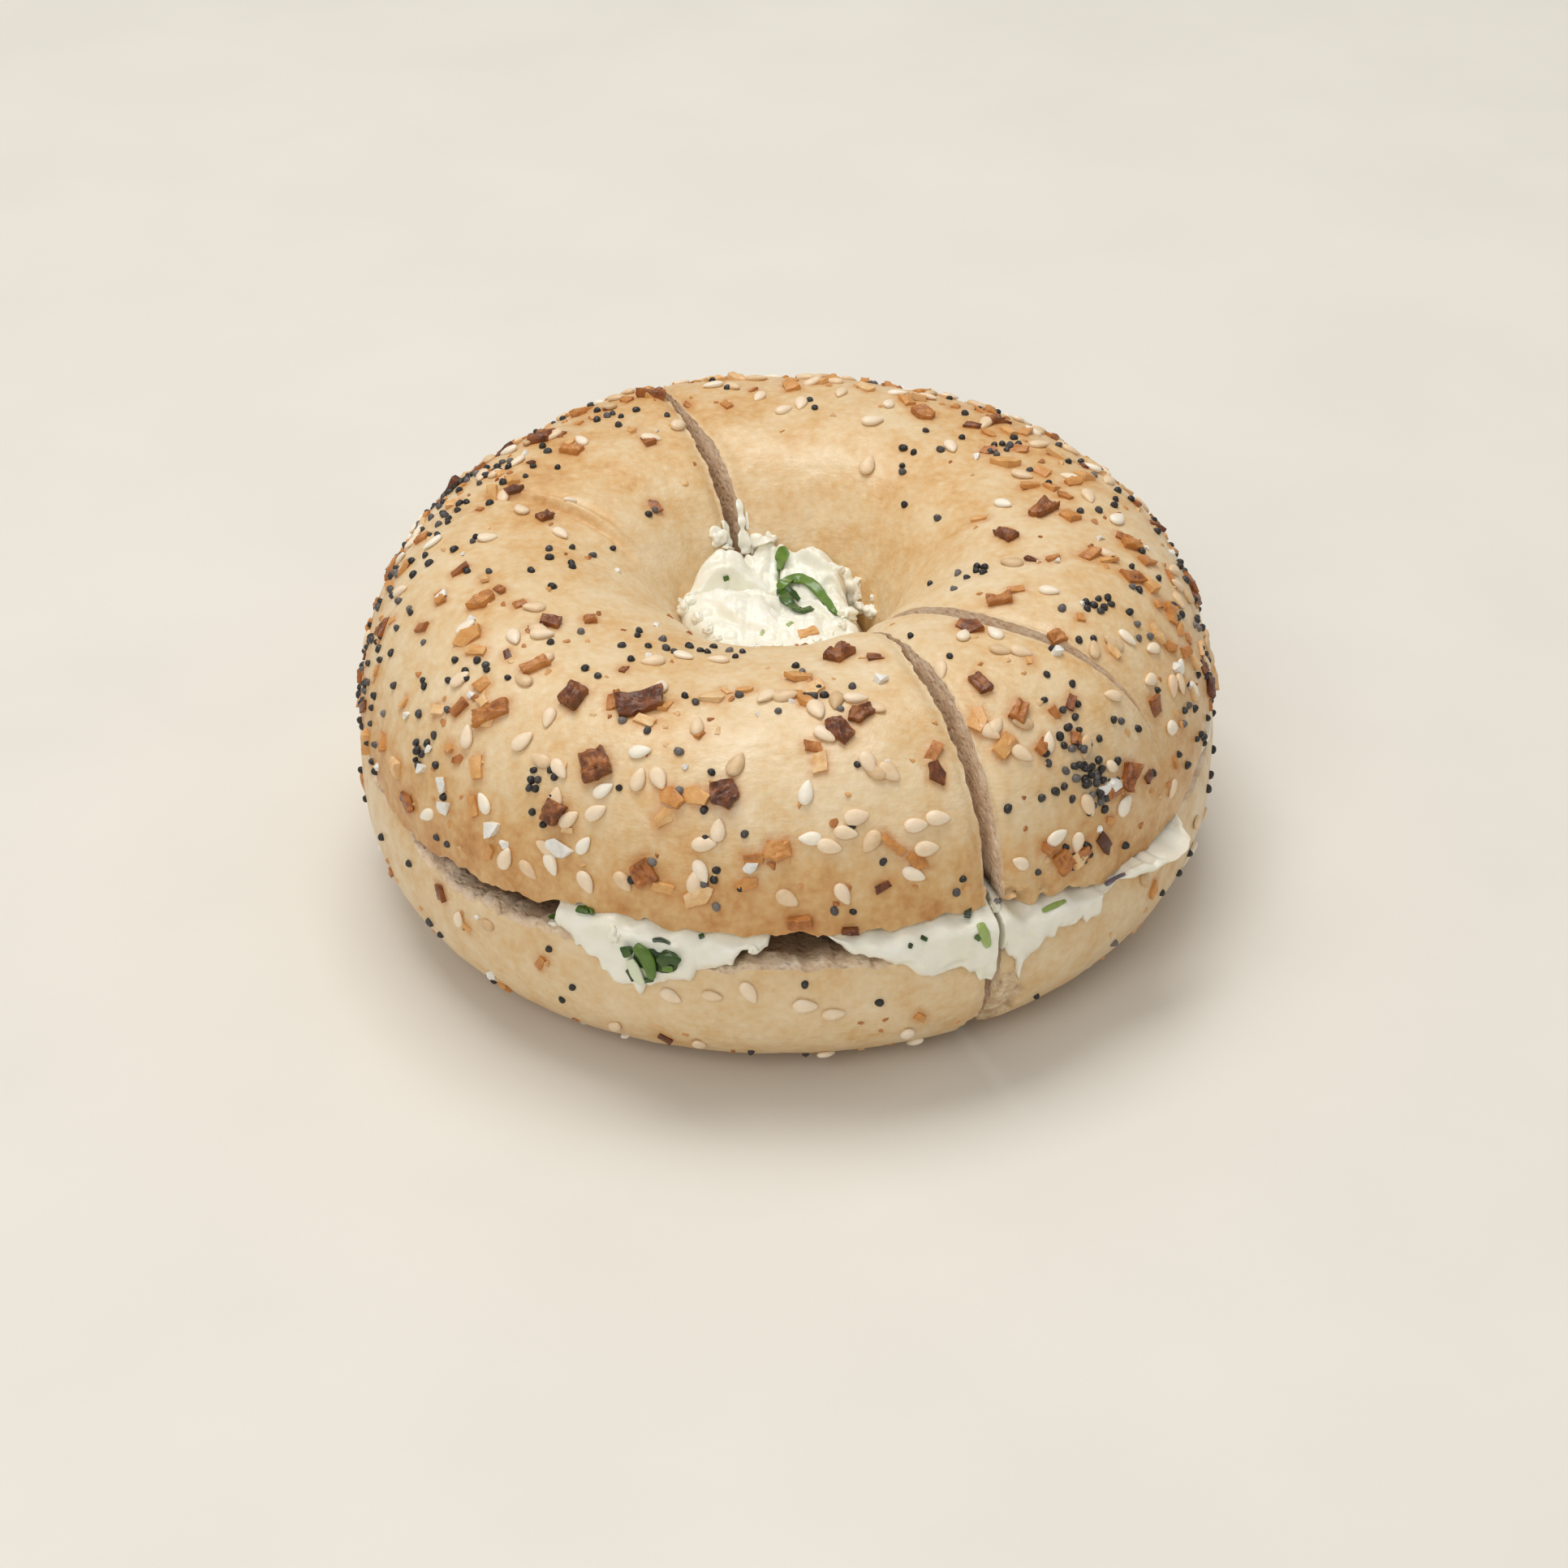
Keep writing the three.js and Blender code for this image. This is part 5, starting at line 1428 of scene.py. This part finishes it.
def addLikelihoods(host, half):
    points = pointsOf(host.data)
    u, radius, height = ringPlaces(points)
    x, y = points[:, 0], points[:, 1]
    clear = smooth(knifeGap(x, y, half), 0.35, 1.1)
    rim = rimHeight(u, half)
    if half["up"] > 0:
        clear = clear * np.where(height > knifeMark["floor"] - 1, smooth(markGap(x, y), 1.5, 2.3), 1)
        clear = clear * smooth(height, rim + 0.8, rim + 2.0) * smooth(radius, 16.0, 22.0)
        shoulder = smooth(radius, 27, 37)
        patch = 0.5 + 0.5 * noise(points, 9.0, 401)
        back = smooth(np.sin(u), 0.1, 0.6) * smooth(radius, 39, 46)
        flank = smooth(np.abs(np.cos(u)), 0.7, 0.92) * smooth(radius, 44, 52)
        poppyBase = (0.012 + 0.032 * shoulder) * (0.4 + 1.1 * patch) * (1 + 0.8 * back + 1.4 * flank)
        sesameBase = (0.04 + 0.26 * shoulder) * (0.5 + 0.9 * (1 - patch)) + 0.9 * back + 0.1 * flank
        flakeBase = (0.05 + 0.30 * shoulder) * (0.3 + 1.3 * patch) + 0.75 * back + 0.12 * flank
    else:
        clear = clear * smooth(height, 1.2, 3.5) * smooth(rim - height, 1.2, 3.0) * (radius > 40)
        clear = clear * (1 - tornShare(u, points))
        flank = smooth(np.abs(np.cos(u)), 0.7, 0.92)
        poppyBase, sesameBase, flakeBase = 0.012 + 0.02 * flank, 0.09, 0.045
    for name, base, clusters, share in (("poppyLikely", poppyBase, poppyClusters, 1.0),
                                        ("sesameLikely", sesameBase, sesameClusters, 0.5),
                                        ("flakeLikely", flakeBase, flakeClusters, 0.8)):
        cover = base + share * clusterCover(points, clusters)
        setAttribute(host.data, name, clear * np.clip(cover, 0, 1))
        if name == "poppyLikely":
            setAttribute(host.data, "pileLikely", clear * np.clip(0.8 * (cover - 0.9), 0, 0.8))
        if name == "flakeLikely":
            setAttribute(host.data, "granuleLikely", clear * np.clip(0.6 * cover + 0.14, 0, 1))
    setAttribute(host.data, "saltLikely", clear * 0.12)


def makePoppyFinish():
    material, board, shader, place = newFinish("poppySeed", Specular_IOR_Level=0.5, Roughness=0.42)
    stops = [(0.0, 30, 27, 25), (0.6, 45, 41, 40), (0.84, 80, 76, 76), (1.0, 120, 114, 110)]
    board.feed(shader, "Base Color", board.ramp(board.attribute("tone"), stops))
    addBump(board, shader, board.cells(place, 0.24), 0.07, 1.0)
    return material


def toppingFinish(name, stops, cloud, shift, gloss, grain, bump, **fixed):
    # Coloured by the topping's tone and a cloud of noise, or by the cloud alone where it has no shift.
    material, board, shader, place = newFinish(name, **fixed)
    clouds = tone = board.noise(place, *cloud)
    if shift:
        tone = board.math("ADD", board.attribute("tone"), board.span(clouds, 0.3, 0.7, *shift))
    board.feed(shader, "Base Color", board.ramp(tone, stops))
    if gloss:
        board.feed(shader, "Roughness", board.span(clouds, 0.3, 0.7, *gloss))
    addBump(board, shader, board.noise(place, *grain) if grain else clouds, *bump)
    return material


def makeToppingFinishes():
    sesameFinish = toppingFinish(
        "sesameSeed",
        [(0.0, 208, 174, 128), (0.3, 232, 204, 166), (0.65, 242, 222, 194), (1.0, 244, 236, 219)],
        (1.2, 2.0), (-0.1, 0.1), None, (0.35, 2.0), (0.05, 0.5), Specular_IOR_Level=0.45, Roughness=0.42,
        Subsurface_Weight=0.2, Subsurface_Radius=(0.0012, 0.0009, 0.0005))
    flakeFinish = toppingFinish(
        "driedOnion",
        [(0.0, 88, 44, 20), (0.12, 124, 68, 30), (0.28, 174, 106, 48), (0.5, 206, 142, 72),
         (0.8, 224, 172, 106), (1.0, 232, 198, 148)],
        (1.6, 4.0, 0.65), (-0.13, 0.15), (0.28, 0.5), (0.5, 3.0, 0.6), (0.14, 0.9), Specular_IOR_Level=0.55,
        Subsurface_Weight=0.25, Subsurface_Radius=(0.0016, 0.0007, 0.0003))
    granuleFinish = toppingFinish(
        "toastedGarlic",
        [(0.0, 150, 88, 44), (0.25, 196, 132, 72), (0.6, 216, 164, 104), (1.0, 230, 198, 150)],
        (0.9, 3.0, 0.6), (-0.15, 0.15), (0.35, 0.6), None, (0.1, 0.6), Specular_IOR_Level=0.45,
        Subsurface_Weight=0.25, Subsurface_Radius=(0.0016, 0.0008, 0.0004))
    saltFinish = toppingFinish(
        "coarseSalt", [(0.3, 226, 222, 212), (0.7, 246, 245, 240)], (0.7, 3.0), None, (0.3, 0.55), None,
        (0.1, 0.6), Specular_IOR_Level=0.5, Subsurface_Weight=0.4, Subsurface_Radius=(0.0012, 0.0011, 0.001))
    return sesameFinish, flakeFinish, granuleFinish, saltFinish


def sprinkle(host):
    seeds, grains = [sesameMesh(k) for k in range(4)], [granuleMesh(k, True) for k in range(4)]
    flakes = [flakeMesh(k, 2.9 + 0.35 * (k % 4), 1.7 + 0.35 * (k % 3), 0.7 + 0.2 * (k % 3), 12, 2, 500 + k,
                        0.25, 0.1 * (k % 3 == 0)) for k in range(10)]
    laidSeeds = [layOn(seeds[k % 4], x, y, turn, -0.3, tone, length / 3)
                 for k, (x, y, length, turn, tone) in enumerate(bigSesame)]
    laidFlakes = [layOn(flakeMesh(60 + k, length, width, 0.85 * thick, 30, 7, 600 + k, 0.27),
                        x, y, turn, -0.25 * thick, tone)
                  for k, (x, y, length, width, turn, thick, tone) in enumerate(bigFlakes)]
    laidGrains = [layOn(grains[k % 4], x, y, turn, -0.35, 0.5, size / 1.1)
                  for k, (x, y, size, turn) in enumerate(whiteGrains)]
    sesameFinish, flakeFinish, granuleFinish, saltFinish = makeToppingFinishes()
    piles = [([poppy, poppyPile], [poppyMesh(k) for k in range(4)], makePoppyFinish(), []),
             ([sesame], seeds, sesameFinish, laidSeeds), ([onion], flakes, flakeFinish, laidFlakes),
             ([garlic], [granuleMesh(k) for k in range(6)], granuleFinish, []),
             ([salt], grains, saltFinish, laidGrains)]
    return [joinAll(kinds[0]["name"], [scatter(kind, meshes, host, finish) for kind in kinds] + laid, finish)
            for kinds, meshes, finish, laid in piles]


def surfaceTree(pieces):
    # Every face of these pieces, for lines of sight to end on.
    points, faces = [], []
    for piece in pieces:
        start = len(points)
        points += [v.co[:] for v in piece.data.vertices]
        faces += [tuple(start + k for k in p.vertices) for p in piece.data.polygons]
    return BVHTree.FromPolygons(points, faces)


# Strips of scallion in the cream: places along each in the photo's frame, widths in mm from end to end,
# thickness and tone, from purple below 0.1 and wet green at 0.2 through fresh green to nearly white at 1.
scallionStrips = [
    ([(963, 675), (967, 689), (960, 703)], (0.4, 2.6, 0.6), 0.4, 0.5),
    ([(960, 702), (960, 720)], (0.35, 0.25), 0.2, 0.42),
    ([(960, 723), (976, 714), (992, 715), (1006, 725), (1018, 741), (1030, 759)],
     (0.9, 1.7, 1.8, 1.5, 1.0, 0.3), 0.5, 0.5),
    ([(962, 724), (966, 738), (976, 750), (988, 757), (1001, 751)], (0.9, 1.5, 1.7, 1.3, 0.5), 0.5, 0.36),
    ([(968, 722), (975, 732), (984, 741)], (0.8, 1.2, 0.5), 0.4, 0.3),
    ([(891, 713), (898, 711)], (0.9, 0.6), 0.3, 0.42), ([(847, 740), (852, 733)], (0.9, 0.7), 0.15, 0.8),
    ([(970, 771), (976, 767)], (0.6, 0.5), 0.15, 0.75), ([(938, 783), (941, 776)], (0.6, 0.4), 0.12, 0.8),
    ([(781, 1178), (798, 1182), (818, 1183), (836, 1186)], (1.6, 2.9, 2.9, 1.4), 0.3, 0.25),
    ([(770, 1172), (780, 1168)], (1.3, 1.3), 1.1, 0.33),
    ([(786, 1163), (796, 1173), (803, 1186), (806, 1200)], (1.0, 1.6, 1.6, 0.9), 1.0, 0.46),
    ([(816, 1182), (826, 1175), (838, 1184)], (1.1, 1.6, 1.0), 1.1, 0.3),
    ([(818, 1191), (830, 1192)], (1.0, 0.7), 0.8, 0.52),
    ([(804, 1159), (815, 1157), (826, 1163)], (0.4, 0.6, 0.3), 0.3, 0.2),
    ([(777, 1179), (784, 1193), (791, 1208)], (1.1, 1.6, 0.8), 0.8, 1.0),
    ([(774, 1193), (782, 1207)], (0.5, 0.4), 0.5, 0.22),
    ([(794, 1206), (806, 1204)], (0.7, 0.6), 0.6, 0.34), ([(861, 1155), (868, 1153)], (0.6, 0.5), 0.3, 0.3),
    ([(679, 1130), (684, 1136)], (1.3, 1.0), 0.5, 0.42),
    ([(712, 1121), (722, 1124), (732, 1121)], (0.8, 1.4, 0.7), 0.5, 0.4),
    ([(1189, 1126), (1197, 1127)], (1.7, 1.7), 0.9, 0.18),
    ([(1207, 1138), (1212, 1150), (1217, 1166)], (0.8, 1.3, 0.7), 0.3, 0.74),
    ([(1119, 1164), (1123, 1165)], (0.7, 0.6), 0.4, 0.2),
    ([(1134, 1155), (1142, 1158)], (0.7, 0.5), 0.3, 0.24),
    ([(1201, 1153), (1207, 1157)], (0.8, 0.6), 0.3, 0.4),
    ([(1284, 1123), (1299, 1116), (1313, 1110)], (0.4, 0.8, 0.3), 0.15, 0.66),
    ([(1362, 1091), (1373, 1083), (1387, 1077)], (0.5, 0.8, 0.3), 0.2, 0.05),
    ([(1226, 1107), (1231, 1110)], (0.8, 0.6), 0.3, 0.08)]


def looseObject(mesh, tone):
    if mesh is None:
        return None
    setAttribute(mesh, "tone", np.full(len(mesh.vertices), tone))
    return sceneObject(mesh.name, mesh)


def evened(rows):
    # Each row averaged with its neighbours, the ends held.
    held = np.concatenate([rows[:1], rows[:1], rows, rows[-1:], rows[-1:]])
    return sum(held[k:k + len(rows)] * share for k, share in enumerate((0.1, 0.22, 0.36, 0.22, 0.1)))


def stripMesh(trail, widths, thick, seed, rough=0.15):
    # A bent strip laid along the surface seen at a trail of places, rounded at its ends.
    steps, around = 10 * (len(trail) - 1) + 4, 10
    found = [seenAt(across, down) for across, down in splineThrough(np.array([trail], float), steps)[0]]
    found = [spot for spot in found if spot is not None]
    steps = len(found)
    if steps < 6:
        return None
    line = evened(np.array([np.array(place) / mm for place, _ in found]))
    up = evened(evened(np.array([normal for _, normal in found])))
    share = np.linspace(0, 1, steps)
    along = np.gradient(line, axis=0)
    along /= np.linalg.norm(along, axis=1, keepdims=True)
    up -= along * np.sum(up * along, axis=1, keepdims=True)
    up /= np.linalg.norm(up, axis=1, keepdims=True)
    side = np.cross(up, along)
    wide = np.interp(share, np.linspace(0, 1, len(widths)), widths) * (1 + rough * noise(line, 0.9, seed))
    wide = wide * np.clip(1 - np.abs(2 * share - 1) ** 7, 0.12, 1) / 2
    turn = np.arange(around) / around * 2 * math.pi
    lift = thick * (0.5 * np.sin(turn) + 0.35 * np.cos(turn) ** 2 + 0.42)
    ring = line[:, None] + side[:, None] * (wide[:, None] * np.cos(turn))[..., None]
    ring = ring + up[:, None] * lift[:, None]
    ring = ring + (rough - 0.1) * 0.4 * noise(ring, 0.7, seed + 1)[..., None] * up[:, None]
    points = np.concatenate([ring.reshape(-1, 3), ring[0].mean(axis=0)[None], ring[-1].mean(axis=0)[None]])
    faces = [tuple(face) for face in gridFaces(steps, around, False, True)]
    first, last, start = len(points) - 2, len(points) - 1, (steps - 1) * around
    faces += [(first, (k + 1) % around, k) for k in range(around)]
    faces += [(last, start + k, start + (k + 1) % around) for k in range(around)]
    return smallMesh("strip", points, faces)


def makeScallions():
    stops = [(0.08, 112, 100, 116), (0.15, 28, 40, 18), (0.34, 50, 84, 14), (0.5, 92, 126, 32),
             (0.72, 152, 174, 90), (0.98, 218, 226, 196)]
    finish = toppingFinish(
        "scallion", stops, (0.9, 3.0, 0.6), (-0.05, 0.05), None, None, (0.08, 0.6), Specular_IOR_Level=0.5,
        Roughness=0.3, Coat_Weight=0.3, Coat_Roughness=0.12, Subsurface_Weight=0.15,
        Subsurface_Radius=(0.0006, 0.001, 0.0004))
    strips = [looseObject(stripMesh(trail, widths, thick, 700 + k), tone)
              for k, (trail, widths, thick, tone) in enumerate(scallionStrips)]
    return joinAll("scallions", strips, finish)


def stainCrust(breads, flakes):
    # How strongly the crust is stained by the flake next to it.
    finder = KDTree(len(flakes.data.vertices))
    for k, vertex in enumerate(flakes.data.vertices):
        finder.insert(vertex.co, k)
    finder.balance()
    for bread in breads:
        gap = np.array([finder.find(vertex.co)[2] for vertex in bread.data.vertices]) / mm
        setAttribute(bread.data, "stain", bell(gap, 0.75))


nearSurface = surfaceTree([topRing, bottomRing, fillingPiece, heapPiece])
for piece in (fillingPiece, heapPiece, makeCreamBits(), makeScallions()):
    shadeSmooth(piece.data)
    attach(piece, "root")
    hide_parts("cream_cheese")
    print(piece.name, len(piece.data.polygons))

for host, half in ((topRing, topHalf), (bottomRing, bottomHalf)):
    addLikelihoods(host, half)
scatterTree = buildScatterTree()
with bpy.context.temp_override(active_object=topRing, selected_editable_objects=[topRing, bottomRing]):
    bpy.ops.object.join()
for piece in sprinkle(topRing):
    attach(piece, "root")
    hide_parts("top_left", "top_right", "bottom_left", "bottom_right")
    print(piece.name, len(piece.data.polygons))
    if piece.name == "onionFlakes":
        stainCrust(breads, piece)
bpy.data.objects.remove(topRing)
